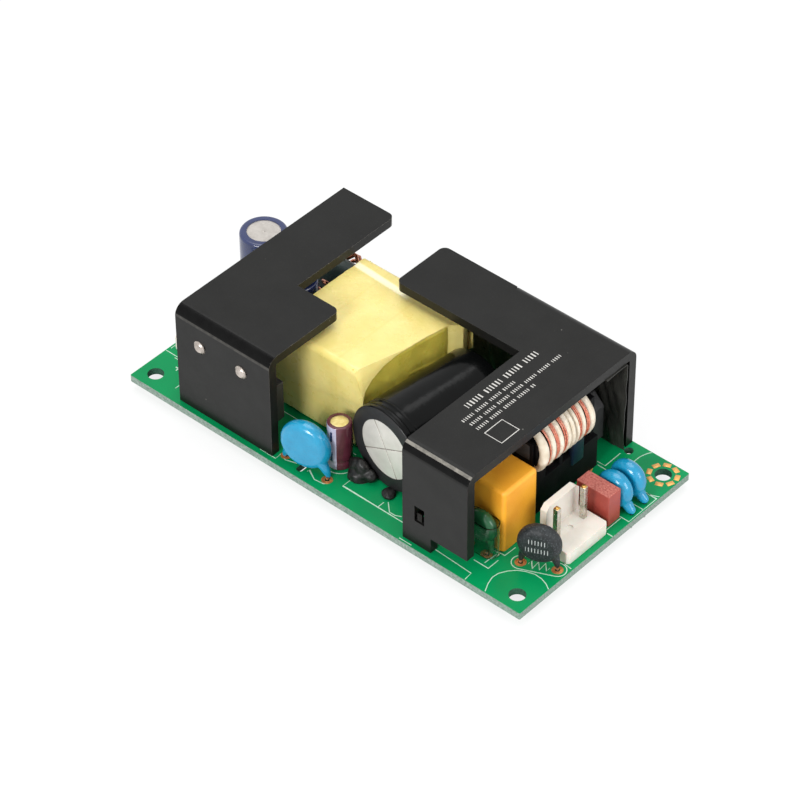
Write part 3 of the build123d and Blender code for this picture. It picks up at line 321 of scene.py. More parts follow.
def arcPoints(centre, radius, start, end, count):
    # points of an arc in a plane, angles in degrees
    steps = [math.radians(start + (end - start) * i / count) for i in range(count + 1)]
    return [(centre[0] + radius * math.cos(a), centre[1] + radius * math.sin(a)) for a in steps]


def boxPiece(name, low, high, bevel, segments=2):
    # a box with rounded edges
    corners = [(x, y, z) for x in (low[0], high[0]) for y in (low[1], high[1]) for z in (low[2], high[2])]
    faces = [(0, 1, 3, 2), (4, 6, 7, 5), (0, 4, 5, 1), (2, 3, 7, 6), (0, 2, 6, 4), (1, 5, 7, 3)]
    piece = newPiece(name, corners, faces)
    return tidyNormals(bevelled(piece, bevel, segments), 50)


def rippled(point, size, seed):
    # smooth noise about zero at a point in millimetres
    return noise.noise(Vector(point) / size + Vector((seed, seed * 1.7, seed * 2.3)))


# Geometry Nodes

def newTree(name, inputs):
    tree = bpy.data.node_groups.new(name, "GeometryNodeTree")
    tree.interface.new_socket("Geometry", in_out="INPUT", socket_type="NodeSocketGeometry")
    for label, kind, value in inputs:
        socket = tree.interface.new_socket(label, in_out="INPUT", socket_type="NodeSocket" + kind)
        if value is not None:
            socket.default_value = value
    tree.interface.new_socket("Geometry", in_out="OUTPUT", socket_type="NodeSocketGeometry")
    entry, leave = tree.nodes.new("NodeGroupInput"), tree.nodes.new("NodeGroupOutput")
    return tree, entry, leave


def endTree(tree, entry, leave, geometry):
    # every tree ends the same way: realised, smooth and with its material
    realize = tree.nodes.new("GeometryNodeRealizeInstances")
    smooth = tree.nodes.new("GeometryNodeSetShadeSmooth")
    paint = tree.nodes.new("GeometryNodeSetMaterial")
    tree.links.new(geometry, realize.inputs["Geometry"])
    tree.links.new(realize.outputs[0], smooth.inputs["Geometry"])
    tree.links.new(smooth.outputs[0], paint.inputs["Geometry"])
    tree.links.new(entry.outputs["Material"], paint.inputs["Material"])
    tree.links.new(paint.outputs[0], leave.inputs[0])


def buildWireTree():
    # a round wire along every path of the mesh
    tree, entry, leave = newTree("wireAlongPath", [
        ("Wire Radius", "Float", 0.0005), ("Sides", "Int", 12), ("Material", "Material", None)])
    path = tree.nodes.new("GeometryNodeMeshToCurve")
    ring = tree.nodes.new("GeometryNodeCurvePrimitiveCircle")
    sweep = tree.nodes.new("GeometryNodeCurveToMesh")
    sweep.inputs["Fill Caps"].default_value = True
    tree.links.new(entry.outputs["Geometry"], path.inputs["Mesh"])
    tree.links.new(entry.outputs["Sides"], ring.inputs["Resolution"])
    tree.links.new(entry.outputs["Wire Radius"], ring.inputs["Radius"])
    tree.links.new(path.outputs[0], sweep.inputs["Curve"])
    tree.links.new(ring.outputs["Curve"], sweep.inputs["Profile Curve"])
    endTree(tree, entry, leave, sweep.outputs[0])
    return tree


def buildCopiesTree():
    # one copy of an object at every point of the mesh, turned by the point's own "turn"
    tree, entry, leave = newTree("copiesAtPoints", [
        ("Copy", "Object", None), ("Size", "Float", 1.0), ("Material", "Material", None)])
    source = tree.nodes.new("GeometryNodeObjectInfo")
    turn = tree.nodes.new("GeometryNodeInputNamedAttribute")
    spin = tree.nodes.new("ShaderNodeCombineXYZ")
    place = tree.nodes.new("GeometryNodeInstanceOnPoints")
    turn.data_type = "FLOAT"
    turn.inputs["Name"].default_value = "turn"
    tree.links.new(entry.outputs["Copy"], source.inputs["Object"])
    tree.links.new(turn.outputs["Attribute"], spin.inputs["Z"])
    tree.links.new(entry.outputs["Geometry"], place.inputs["Points"])
    tree.links.new(source.outputs["Geometry"], place.inputs["Instance"])
    tree.links.new(spin.outputs[0], place.inputs["Rotation"])
    tree.links.new(entry.outputs["Size"], place.inputs["Scale"])
    endTree(tree, entry, leave, place.outputs[0])
    return tree


ringTurnInputs = [  # input of the tree, node and socket that take it
    ("Count", "arc", "Resolution"), ("Ring Radius", "arc", "Radius"), ("Start Angle", "arc", "Start Angle"),
    ("Sweep Angle", "arc", "Sweep Angle"), ("Loop Width", "loop", "Width"), ("Loop Height", "loop", "Height"),
    ("Corner", "rounded", "Radius"), ("Wire Radius", "ring", "Radius"),
]


def buildRingTurnsTree():
    # turns of wire round a ring, with a bare sector
    tree, entry, leave = newTree("turnsOnRing", [
        ("Count", "Int", 16), ("Ring Radius", "Float", 0.005), ("Start Angle", "Float", 0.0),
        ("Sweep Angle", "Float", 5.0), ("Loop Width", "Float", 0.007), ("Loop Height", "Float", 0.004),
        ("Corner", "Float", 0.001), ("Wire Radius", "Float", 0.0004), ("Material", "Material", None)])
    arc = tree.nodes.new("GeometryNodeCurveArc")
    tangent = tree.nodes.new("GeometryNodeInputTangent")
    align = tree.nodes.new("FunctionNodeAlignRotationToVector")
    loop = tree.nodes.new("GeometryNodeCurvePrimitiveQuadrilateral")
    rounded = tree.nodes.new("GeometryNodeFilletCurve")
    ring = tree.nodes.new("GeometryNodeCurvePrimitiveCircle")
    sweep = tree.nodes.new("GeometryNodeCurveToMesh")
    place = tree.nodes.new("GeometryNodeInstanceOnPoints")
    align.axis = "Z"
    if "Count" in rounded.inputs:
        rounded.inputs["Count"].default_value = 5
    rounded.mode = "POLY"
    ring.inputs["Resolution"].default_value = 12
    targets = {"arc": arc, "loop": loop, "rounded": rounded, "ring": ring}
    for source, target, socket in ringTurnInputs:
        tree.links.new(entry.outputs[source], targets[target].inputs[socket])
    tree.links.new(loop.outputs["Curve"], rounded.inputs["Curve"])
    tree.links.new(rounded.outputs["Curve"], sweep.inputs["Curve"])
    tree.links.new(ring.outputs["Curve"], sweep.inputs["Profile Curve"])
    tree.links.new(tangent.outputs[0], align.inputs["Vector"])
    tree.links.new(arc.outputs["Curve"], place.inputs["Points"])
    tree.links.new(align.outputs[0], place.inputs["Rotation"])
    tree.links.new(sweep.outputs[0], place.inputs["Instance"])
    endTree(tree, entry, leave, place.outputs[0])
    return tree


def throughTree(piece, tree, values):
    # runs a tree on a piece with its inputs set by identifier, and keeps the plain mesh
    modifier = piece.modifiers.new("shape", "NODES")
    modifier.node_group = tree
    for item in tree.interface.items_tree:
        if item.item_type == "SOCKET" and item.in_out == "INPUT" and item.name in values:
            modifier[item.identifier] = values[item.name]
    return applied(piece)


wireTree, copiesTree, ringTurnsTree = buildWireTree(), buildCopiesTree(), buildRingTurnsTree()


def wires(name, paths, radius, material, sides=12, closed=False):
    # one mesh of round wires along several paths in millimetres
    points, edges = [], []
    for path in paths:
        first = len(points)
        points += path
        edges += [(first + i, first + i + 1) for i in range(len(path) - 1)]
        if closed:
            edges.append((first + len(path) - 1, first))
    piece = newPiece(name, points, [], edges)
    throughTree(piece, wireTree, {"Wire Radius": radius * mm, "Sides": sides, "Material": material})
    return tidyNormals(piece, 60)


def copies(name, pattern, places, material, turns=None):
    # copies of one small mesh at several places in millimetres; the pattern itself is removed
    piece = newPiece(name, places, [])
    turn = piece.data.attributes.new("turn", "FLOAT", "POINT")
    for index in range(len(places)):
        turn.data[index].value = turns[index] if turns else 0.0
    throughTree(piece, copiesTree, {"Copy": pattern, "Size": 1.0, "Material": material})
    bpy.data.objects.remove(pattern)
    return tidyNormals(piece, 50)


print("stage 2: helpers and node trees ready")


# Materials

def newMaterial(name):
    material = bpy.data.materials.new(name)
    material.use_nodes = True
    tree = material.node_tree
    place = tree.nodes.new("ShaderNodeTexCoord")
    return material, tree, tree.nodes["Principled BSDF"], place


def addNoise(tree, vector, size, detail=3.0, low=0.0, high=1.0):
    # noise whose features are about size millimetres wide, stretched between two levels
    texture = tree.nodes.new("ShaderNodeTexNoise")
    texture.inputs["Scale"].default_value = 1 / (size * mm)
    texture.inputs["Detail"].default_value = detail
    tree.links.new(vector, texture.inputs["Vector"])
    return addRange(tree, texture.outputs["Fac"], 0.3, 0.7, low, high)


def addRange(tree, value, fromLow, fromHigh, toLow, toHigh):
    spread = tree.nodes.new("ShaderNodeMapRange")
    tree.links.new(value, spread.inputs["Value"])
    for socket, number in zip(("From Min", "From Max", "To Min", "To Max"),
            (fromLow, fromHigh, toLow, toHigh)):
        spread.inputs[socket].default_value = number
    return spread.outputs["Result"]


def addMix(tree, factor, first, second):
    # mixes two colours, each a socket or a fixed colour
    mix = tree.nodes.new("ShaderNodeMix")
    mix.data_type = "RGBA"
    tree.links.new(factor, mix.inputs["Factor"])
    for socket, color in ((mix.inputs["A"], first), (mix.inputs["B"], second)):
        for candidate in [s for s in mix.inputs if s.name == socket.name and s.type == "RGBA"]:
            if isinstance(color, bpy.types.NodeSocket):
                tree.links.new(color, candidate)
            else:
                candidate.default_value = color
    return [s for s in mix.outputs if s.type == "RGBA"][0]


def addMath(tree, operation, first, second=0.0):
    node = tree.nodes.new("ShaderNodeMath")
    node.operation = operation
    for socket, value in zip(node.inputs, (first, second)):
        if isinstance(value, bpy.types.NodeSocket):
            tree.links.new(value, socket)
        else:
            socket.default_value = value
    return node.outputs[0]


def addBump(tree, shader, height, depth, before=None):
    # bump whose full height is depth millimetres
    bump = tree.nodes.new("ShaderNodeBump")
    bump.inputs["Strength"].default_value = 1.0
    bump.inputs["Distance"].default_value = depth * mm
    tree.links.new(height, bump.inputs["Height"])
    if before is not None:
        tree.links.new(before, bump.inputs["Normal"])
    tree.links.new(bump.outputs["Normal"], shader.inputs["Normal"])
    return bump.outputs["Normal"]


def splitAxes(tree, vector):
    split = tree.nodes.new("ShaderNodeSeparateXYZ")
    tree.links.new(vector, split.inputs[0])
    return split.outputs


def connect(tree, shader, color, roughness, sockets=None):
    # links colour and roughness, and sets the shader's fixed values
    tree.links.new(color, shader.inputs["Base Color"])
    tree.links.new(roughness, shader.inputs["Roughness"])
    for socket, value in (sockets or {}).items():
        shader.inputs[socket].default_value = value


def surface(name, row, more):
    # a finish with cloudy colour, flecks, uneven gloss and fine bump, all in object space
    color, cloud, cloudWidth, rough, relief, reliefWidth, sockets = row
    material, tree, shader, place = newMaterial(name)
    where = place.outputs["Object"]
    tint = addMix(tree, addNoise(tree, where, cloudWidth), hexColor(color), hexColor(cloud))
    if "fleck" in more:
        flecks = addNoise(tree, where, more["fleckSize"], 1.0)
        share = addRange(tree, flecks, more["fleckFrom"], more["fleckFrom"] + 0.1, 0.0, more["fleckShare"])
        tint = addMix(tree, share, tint, hexColor(more["fleck"]))
    spread = more.get("roughSpread", 0.06)
    connect(tree, shader, tint, addNoise(tree, where, 2.0, 4.0, rough - spread, rough + spread), sockets)
    addBump(tree, shader, addNoise(tree, where, reliefWidth, 3.0), relief)
    return material


metal = {"Metallic": 1.0}
finishTable = {  # colour, cloud colour and width, roughness, relief depth and width, fixed shader values
    "solder": ("#C9CAC8", "#9FA09C", 0.8, 0.28, 0.05, 0.5, metal),
    "tinned_pins": ("#CFC9BC", "#A9A191", 1.2, 0.3, 0.01, 0.15, metal),
    "nickel_screws": ("#C9C0B8", "#A39A92", 0.9, 0.36, 0.015, 0.3, {"Metallic": 0.8}),
    "bushing_plastic": ("#C9C4B8", "#B5AF9F", 4.0, 0.5, 0.01, 0.3, {}),
    "insulating_rubber": ("#7E8084", "#6C6E72", 4.0, 0.75, 0.02, 0.25, {}),
    "moulding_compound": ("#232325", "#2C2C2D", 2.0, 0.55, 0.012, 0.12, {}),
    "tinned_leads": ("#D0CDC6", "#A7A39A", 0.8, 0.27, 0.012, 0.2, metal),
    "spring_steel": ("#23221F", "#1B1A18", 4.0, 0.35, 0.008, 0.3, metal),
    "ferrite": ("#3B3B3D", "#474748", 1.5, 0.6, 0.02, 0.2, {}),
    "black_phenolic": ("#0B0B0C", "#121214", 4.0, 0.6, 0.015, 0.4, {"Specular IOR Level": 0.12}),
    "enamelled_copper": ("#C9805F", "#8E4A2C", 1.2, 0.25, 0.01, 0.3,
        {"Metallic": 0.85, "Coat Weight": 0.5, "Coat Roughness": 0.15}),
    "can_aluminium": ("#DAD6CF", "#CBC7C0", 2.4, 0.42, 0.012, 0.2, {"Metallic": 0.35}),
    # darker aluminium for the pressed vent lines: painted shade in the grooves
    "vent_groove_painted_shade": ("#9A948C", "#857F77", 1.2, 0.45, 0.01, 0.3, {"Metallic": 0.3}),
    "black_sleeve": ("#060707", "#0A0B0B", 5.0, 0.16, 0.012, 1.6, {"Specular IOR Level": 0.14}),
    "sleeve_end": ("#1C1C1D", "#232324", 3.0, 0.5, 0.01, 0.6, {"Specular IOR Level": 0.3}),
    # painted light for the heatsinks: a near-black, low-gloss dark reflection and shade, and a pale highlight
    # line
    "painted_dark_reflection_and_shade": ("#060606", "#0B0B0B", 2.0, 0.3, 0.01, 0.8, {"Specular IOR Level": 0.1}),
    "painted_bend_highlight_line": ("#3D3B37", "#22211F", 1.1, 0.35, 0.01, 0.5, {"Specular IOR Level": 0.3}),
    "cap_top": ("#BDB8B2", "#ACA7A1", 1.4, 0.45, 0.01, 0.3, {"Metallic": 0.4}),
    # painted highlight grey for the heatsink rims and the input sink's bend glint
    "painted_highlight": ("#7C7870", "#55524C", 0.9, 0.3, 0.008, 0.3, {"Specular IOR Level": 0.7}),
    "navy_plastic": ("#0E1A2C", "#131F33", 1.5, 0.35, 0.01, 0.3, {}),
    "adhesive": ("#0C0C0C", "#1E1E1D", 1.0, 0.42, 0.06, 0.9, {"Specular IOR Level": 0.35}),
    "maroon_sleeve": ("#5A2836", "#4A1E2A", 2.0, 0.22, 0.01, 0.8, {}),
    "navy_sleeve": ("#26325F", "#1F294F", 3.0, 0.2, 0.015, 1.0, {"Coat Weight": 0.3, "Coat Roughness": 0.12}),
    "blue_coating": ("#178BB2", "#127FA6", 3.0, 0.2, 0.03, 1.1, {"Coat Weight": 0.2, "Coat Roughness": 0.08}),
    "orange_case": ("#F2AC30", "#EA9D27", 5.0, 0.42, 0.012, 0.35, {}),
    "green_coating": ("#1E5A36", "#184A2C", 2.0, 0.22, 0.02, 0.8, {}),
    "white_nylon": ("#DDD8CF", "#D3CDC2", 3.0, 0.42, 0.012, 0.5,
        {"Subsurface Weight": 0.15, "Subsurface Scale": 0.001}),
    "cream_wire": ("#E6DCCB", "#CDBFA8", 1.6, 0.4, 0.06, 0.9, {}),
    # the pale salmon cloud in the red wire is partly random tone and partly a painted sheen along the strands
    "red_enamelled_wire": ("#E09678", "#B8472E", 0.35, 0.28, 0.01, 0.3,
        {"Coat Weight": 0.4, "Coat Roughness": 0.15}),
    "green_painted_core": ("#123A34", "#0E2E29", 4.0, 0.4, 0.02, 0.4, {}),
    "black_film": ("#2E2E2B", "#3C3B37", 4.0, 0.34, 0.05, 1.6, {"Specular IOR Level": 0.35}),
    "chip_ceramic": ("#5B4636", "#4A392C", 1.0, 0.45, 0.01, 0.3, {}),
    "silkscreen_ink": ("#C3DCCB", "#A6C9B3", 0.7, 0.5, 0.004, 0.1, {}),
    "plate_ink": ("#C9C7C2", "#AFADA8", 0.5, 0.5, 0.004, 0.1, {}),
    "bare_pads": ("#E3AC62", "#CF9850", 0.5, 0.4, 0.008, 0.3, {"Metallic": 0.3}),
    "flux_pads": ("#CF8C50", "#9C5A34", 0.8, 0.3, 0.02, 0.3, {"Metallic": 0.4}),
    "chip_ends": ("#C7C7C4", "#A9A9A5", 4.0, 0.32, 0.01, 0.3, metal),
    "stripe_lavender": ("#B9B5C6", "#A8A4BA", 1.6, 0.25, 0.01, 0.8, {}),
    "stripe_grey": ("#8A93B8", "#7A84AC", 2.0, 0.22, 0.01, 0.3, {}),
    "cream_vent": ("#E5D79B", "#CDBB76", 0.8, 0.34, 0.02, 0.3, {"Metallic": 0.5}),
}
finishExtras = {  # flecks, and how far the roughness wanders
    "black_sleeve": {"roughSpread": 0.04},
    "blue_coating": {"fleck": "#0F6F92", "fleckSize": 0.35, "fleckFrom": 0.82, "fleckShare": 0.35,
        "roughSpread": 0.05},
    "orange_case": {"fleck": "#DB8A1E", "fleckSize": 0.3, "fleckFrom": 0.84, "fleckShare": 0.3},
    "black_film": {"roughSpread": 0.08},
}
finishes = {name: surface(name, row, finishExtras.get(name, {})) for name, row in finishTable.items()}


boardLook = {"mask": ("#028A50", "#04804B"), "maskPatch": 9.0, "below": ("#077044", "#0B8B55"),
    "copperCell": 9.0, "copperStretch": (0.7, 1.3, 0.01), "copperGap": (0.018, 0.028),
    # the darker green for the hole walls is painted shade
    "sawn": ("#67786E", "#8B9A91"), "holeWallShade": ("#26493A", "#3C6350"), "grain": 0.4, "edgeX": (50.3, 50.6),
    "edgeY": (24.9, 25.2), "maskRough": 0.3, "cutRough": 0.75, "relief": 0.05}


def boardFinish():
    # green mask with hidden copper, pale laminate on the cut edges, wide copper areas below
    look = boardLook
    material, tree, shader, place = newMaterial("solder_mask_board")
    where = place.outputs["Object"]
    axes = splitAxes(tree, where)
    facing = splitAxes(tree, place.outputs["Normal"])["Z"]
    top = addMix(tree, addNoise(tree, where, look["maskPatch"], 2.0), *(hexColor(c) for c in look["mask"]))
    cells = tree.nodes.new("ShaderNodeTexVoronoi")
    cells.feature = "DISTANCE_TO_EDGE"
    cells.inputs["Scale"].default_value = 1 / (look["copperCell"] * mm)
    stretch = tree.nodes.new("ShaderNodeMapping")
    stretch.inputs["Scale"].default_value = look["copperStretch"]
    tree.links.new(where, stretch.inputs["Vector"])
    tree.links.new(stretch.outputs[0], cells.inputs["Vector"])
    copper = addRange(tree, cells.outputs["Distance"], *look["copperGap"], 0.0, 1.0)
    below = addMix(tree, copper, *(hexColor(c) for c in look["below"]))
    # the sawn outer edge is pale and grainy; the walls inside the holes are painted darker, painted shade
    # inside the holes
    outer = addMath(tree, "MAXIMUM", *(addRange(tree, addMath(tree, "ABSOLUTE", axes[axis]),
        *(limit * mm for limit in look["edge" + axis]), 0.0, 1.0) for axis in "XY"))
    grain = addNoise(tree, where, look["grain"], 4.0)
    sawn, holeWallShade = (addMix(tree, grain, *(hexColor(c) for c in look[name])) for name in ("sawn", "holeWallShade"))
    isTop = addRange(tree, facing, 0.4, 0.6, 0.0, 1.0)
    isBelow = addRange(tree, facing, -0.4, -0.6, 0.0, 1.0)
    color = addMix(tree, isBelow, addMix(tree, isTop, addMix(tree, outer, holeWallShade, sawn), top), below)
    isMask = addMath(tree, "MAXIMUM", isTop, isBelow)
    roughness = addRange(tree, isMask, 0.0, 1.0, look["cutRough"], look["maskRough"])
    connect(tree, shader, color, roughness, {"Specular IOR Level": 0.15})
    weave = addNoise(tree, where, 0.25, 2.0, 0.0, 0.08)
    addBump(tree, shader, addMath(tree, "ADD", addMath(tree, "MULTIPLY", copper, isBelow), weave),
        look["relief"])
    return material


sheetLook = {"black": ("#141413", "#191918"), "patch": 7.0, "rub": "#3A3A38", "rubSize": 0.22,
    "speck": "#8C8A84", "speckSpacing": 5.0, "speckSize": (0.02, 0.035), "grain": (0.12, 0.004),
    "swell": (6.0, 0.03)}


def anodisedFinish():
    # satin black sheet: fine grain, faint handling marks and a few dust specks
    look = sheetLook
    material, tree, shader, place = newMaterial("black_anodised_sheet")
    where = place.outputs["Object"]
    color = addMix(tree, addNoise(tree, where, look["patch"], 3.0), *(hexColor(c) for c in look["black"]))
    rub = addNoise(tree, where, look["rubSize"], 2.0)
    color = addMix(tree, addRange(tree, rub, 0.95, 1.0, 0.0, 0.4), color, hexColor(look["rub"]))
    cells = tree.nodes.new("ShaderNodeTexVoronoi")
    cells.inputs["Scale"].default_value = 1 / (look["speckSpacing"] * mm)
    tree.links.new(where, cells.inputs["Vector"])
    speck = addRange(tree, cells.outputs["Distance"], *look["speckSize"], 0.5, 0.0)
    color = addMix(tree, speck, color, hexColor(look["speck"]))
    connect(tree, shader, color, addNoise(tree, where, 1.2, 4.0, 0.3, 0.38), {"Specular IOR Level": 0.18})
    first = addBump(tree, shader, addNoise(tree, where, look["grain"][0], 2.0), look["grain"][1])
    addBump(tree, shader, addNoise(tree, where, look["swell"][0], 1.0), look["swell"][1], first)
    return material


# the band settings and the pale colour below make a painted highlight along the tape's roof
tapeLook = {"patch": 6.0, "overlapEvery": 9.5, "bandAt": 10.6, "bandSlant": 0.06, "bandHalf": (0.5, 0.95),
    "bandTop": (21.6, 21.8), "bandEnd": (-10.5, -8.5), "paintedHighlight": "#FBF2D0", "wrinkle": (2.8, 0.07),
    "grain": (0.4, 0.006)}


def tapeFinish(name, light, dark, overlapTone):
    # glossy yellow film tape with faint overlaps, cloudy patches and a painted highlight band along the roof
    look = tapeLook
    material, tree, shader, place = newMaterial(name)
    where = place.outputs["Object"]
    color = addMix(tree, addNoise(tree, where, look["patch"], 2.0), hexColor(light), hexColor(dark))
    axes = splitAxes(tree, where)
    wave = addMath(tree, "SINE", addMath(tree, "MULTIPLY", axes["X"],
        2 * math.pi / (look["overlapEvery"] * mm)))
    overlap = addRange(tree, wave, 0.97, 1.0, 0.0, 0.25)
    color = addMix(tree, overlap, color, hexColor(overlapTone))
    # a painted highlight band along the roof, near its far edge
    slant = addMath(tree, "ADD", axes["Y"], addMath(tree, "MULTIPLY", axes["X"], look["bandSlant"]))
    band = addMath(tree, "ABSOLUTE", addMath(tree, "SUBTRACT", slant, look["bandAt"] * mm))
    across, onRoof, before = ([v * mm for v in look[name]] for name in ("bandHalf", "bandTop", "bandEnd"))
    paintedHighlight = addMath(tree, "MULTIPLY", addRange(tree, band, *across, 1.0, 0.0),
        addRange(tree, axes["Z"], *onRoof, 0.0, 0.75))
    paintedHighlight = addMath(tree, "MULTIPLY", paintedHighlight, addRange(tree, axes["X"], *before, 1.0, 0.0))
    color = addMix(tree, paintedHighlight, color, hexColor(look["paintedHighlight"]))
    connect(tree, shader, color, addNoise(tree, where, 2.5, 3.0, 0.24, 0.38), {
        "Coat Weight": 0.35, "Coat Roughness": 0.2, "Subsurface Weight": 0.1, "Subsurface Scale": 0.001})
    first = addBump(tree, shader, addNoise(tree, where, look["wrinkle"][0], 3.0), look["wrinkle"][1])
    addBump(tree, shader, addNoise(tree, where, look["grain"][0], 2.0), look["grain"][1], first)
    return material


pinLook = {"tin": ("#D6D2C8", "#ABA79B"), "brass": "#C79A55", "brassFrom": (12.15, 12.3)}


def pinFinish():
    # tinned header pins whose cut tips show brass
    material, tree, shader, place = newMaterial("header_pins")
    where = place.outputs["Object"]
    height = splitAxes(tree, where)["Z"]
    tin = addMix(tree, addNoise(tree, where, 1.2, 3.0), *(hexColor(c) for c in pinLook["tin"]))
    tip = addRange(tree, height, *(v * mm for v in pinLook["brassFrom"]), 0.0, 1.0)
    color = addMix(tree, tip, tin, hexColor(pinLook["brass"]))
    connect(tree, shader, color, addNoise(tree, where, 0.6, 3.0, 0.2, 0.34), metal)
    addBump(tree, shader, addNoise(tree, where, 0.3, 2.0), 0.01)
    return material


fuseLook = {"side": ("#9F4035", "#91382F"), "roof": ("#8E3B33", "#BC7468"), "grain": 0.35, "relief": 0.09}


def fuseFinish():
    # brick red case with a rough, chalky roof
    material, tree, shader, place = newMaterial("brick_red_case")
    where = place.outputs["Object"]
    facing = addRange(tree, splitAxes(tree, place.outputs["Normal"])["Z"], 0.5, 0.8, 0.0, 1.0)
    side = addMix(tree, addNoise(tree, where, 3.0, 3.0), *(hexColor(c) for c in fuseLook["side"]))
    grains = addNoise(tree, where, fuseLook["grain"], 4.0)
    roof = addMix(tree, grains, *(hexColor(c) for c in fuseLook["roof"]))
    connect(tree, shader, addMix(tree, facing, side, roof), addRange(tree, facing, 0.0, 1.0, 0.45, 0.75))
    chalk, fine = addMath(tree, "MULTIPLY", grains, facing), addNoise(tree, where, 0.2, 2.0, 0.0, 0.15)
    addBump(tree, shader, addMath(tree, "ADD", chalk, fine), fuseLook["relief"])
    return material


thermistorLook = {"coating": ("#15181A", "#24282A"), "fleck": "#4A5053", "turn": 24.4, "middle": 7.9,
    "ink": "#A8ACAB", "rows": ((1.1, 1.9), (-0.9, 2.3)), "pitch": 0.62, "halfHeight": (0.5, 0.6),
    "fade": 0.08}


def thermistorFinish():
    # mottled grey-black coating with two plain rows of ticks
    look = thermistorLook
    material, tree, shader, place = newMaterial("black_coating")
    where = place.outputs["Object"]
    color = addMix(tree, addNoise(tree, where, 0.9, 4.0), *(hexColor(c) for c in look["coating"]))
    fleck = addRange(tree, addNoise(tree, where, 0.3, 2.0), 0.75, 0.85, 0.0, 0.6)
    color = addMix(tree, fleck, color, hexColor(look["fleck"]))
    low, high = nodeBox("thermistor_body")
    centre = (low + high) / 2
    turn = math.radians(look["turn"])
    axes = splitAxes(tree, where)
    fromX = addMath(tree, "SUBTRACT", axes["X"], centre.x * mm)
    fromY = addMath(tree, "SUBTRACT", axes["Y"], centre.y * mm)
    along = addMath(tree, "ADD", addMath(tree, "MULTIPLY", fromX, math.cos(turn)),
        addMath(tree, "MULTIPLY", fromY, math.sin(turn)))
    facing = addRange(tree, splitAxes(tree, place.outputs["Normal"])["Y"], -0.5, -0.7, 0.0, 1.0)
    rise = addMath(tree, "SUBTRACT", axes["Z"], look["middle"] * mm)
    ticks = addMath(tree, "SINE", addMath(tree, "MULTIPLY", along, 2 * math.pi / (look["pitch"] * mm)))
    marks = None
    for middle, reach in look["rows"]:
        away = addMath(tree, "ABSOLUTE", addMath(tree, "SUBTRACT", rise, middle * mm))
        row = addRange(tree, away, *(v * mm for v in look["halfHeight"]), 1.0, 0.0)
        ends = addRange(tree, addMath(tree, "ABSOLUTE", along), reach * mm, (reach + look["fade"]) * mm,
            1.0, 0.0)
        bars = addMath(tree, "MULTIPLY", addMath(tree, "MULTIPLY", row, ends),
            addRange(tree, ticks, 0.6, 0.85, 0.0, 1.0))
        marks = bars if marks is None else addMath(tree, "MAXIMUM", marks, bars)
    color = addMix(tree, addMath(tree, "MULTIPLY", marks, facing), color, hexColor(look["ink"]))
    connect(tree, shader, color, addNoise(tree, where, 0.8, 3.0, 0.38, 0.6), {"Specular IOR Level": 0.35})
    addBump(tree, shader, addNoise(tree, where, 0.5, 3.0), 0.05)
    return material


def clearFinish():
    # clear shrink tube with a faint haze
    material, tree, shader, place = newMaterial("clear_tube")
    where = place.outputs["Object"]
    tint = addMix(tree, addNoise(tree, where, 2.0, 2.0), hexColor("#EAF2EC"), hexColor("#D5E4D9"))
    connect(tree, shader, tint, addNoise(tree, where, 1.4, 3.0, 0.06, 0.16),
        {"Transmission Weight": 1.0, "IOR": 1.35})
    addBump(tree, shader, addNoise(tree, where, 1.5, 2.0), 0.03)
    return material


finishes["solder_mask_board"] = boardFinish()
finishes["black_anodised_sheet"] = anodisedFinish()
finishes["yellow_tape"] = tapeFinish("yellow_tape", "#E2D084", "#D9C674", "#CFBA5E")
# the end wraps get a darker olive copy of the tape colours, painted shade on the recessed ends
finishes["end_tape"] = tapeFinish("end_tape", "#CFBF50", "#BBAA40", "#A39434")
finishes["header_pins"] = pinFinish()
finishes["brick_red_case"] = fuseFinish()
finishes["clear_tube"] = clearFinish()
finishes["black_coating"] = thermistorFinish()
print("stage 3:", len(finishes), "finishes")


# CAD nodes that keep their shape get their finish

record = frame["record"]
slotOf = {part["node"]: part["material_slot"] for part in record["subparts"]}
for nodeName, cadNode in cadNodes.items():
    cadNode.data.materials.clear()
    cadNode.data.materials.append(finishes[slotOf[nodeName]])
for nodeName in ("input_header_pins", "output_header_pins"):
    cadNodes[nodeName].data.materials[0] = finishes["header_pins"]

# Hard-edged pieces get small rounded edges, in millimetres
edgeRounding = {
    "output_heatsink": 0.2,
    "input_heatsink": 0.2,
    "rectifier_bodies": 0.12,
    "transistor_body": 0.12,
    "bridge_rectifier_body": 0.15,
    "rectifier_leadframes": 0.06,
    "transistor_leadframe": 0.06,
    "transistor_clip": 0.06,
    "transformer_lower_core": 0.15,
    "transformer_upper_core": 0.15,
    "transformer_bobbin": 0.1,
    "choke_base": 0.15,
    "fuse_body": 0.1,
    "input_header_housing": 0.12,
    "output_header_housing": 0.12,
    "optocoupler_body": 0.1,
    "suppression_capacitor": 0.1,
    "input_header_pins": 0.14,
    "output_header_pins": 0.14,
}
for nodeName, bevel in edgeRounding.items():
    finishName = "header_pins" if "header_pins" in nodeName else slotOf[nodeName]
    dress(softCopy(nodeName, bevel), [finishName], [nodeName])

bend = {"radius": 2.4, "rimShare": 0.93, "flat": 0.1, "darkFrom": -0.2, "lineFrom": -0.97, "lineDrop": 0.02,
    "glint": (-0.62, -0.46), "wallEnd": 1.6, "wallDrop": 2.0, "endFace": 0.9, "sideways": 0.2}


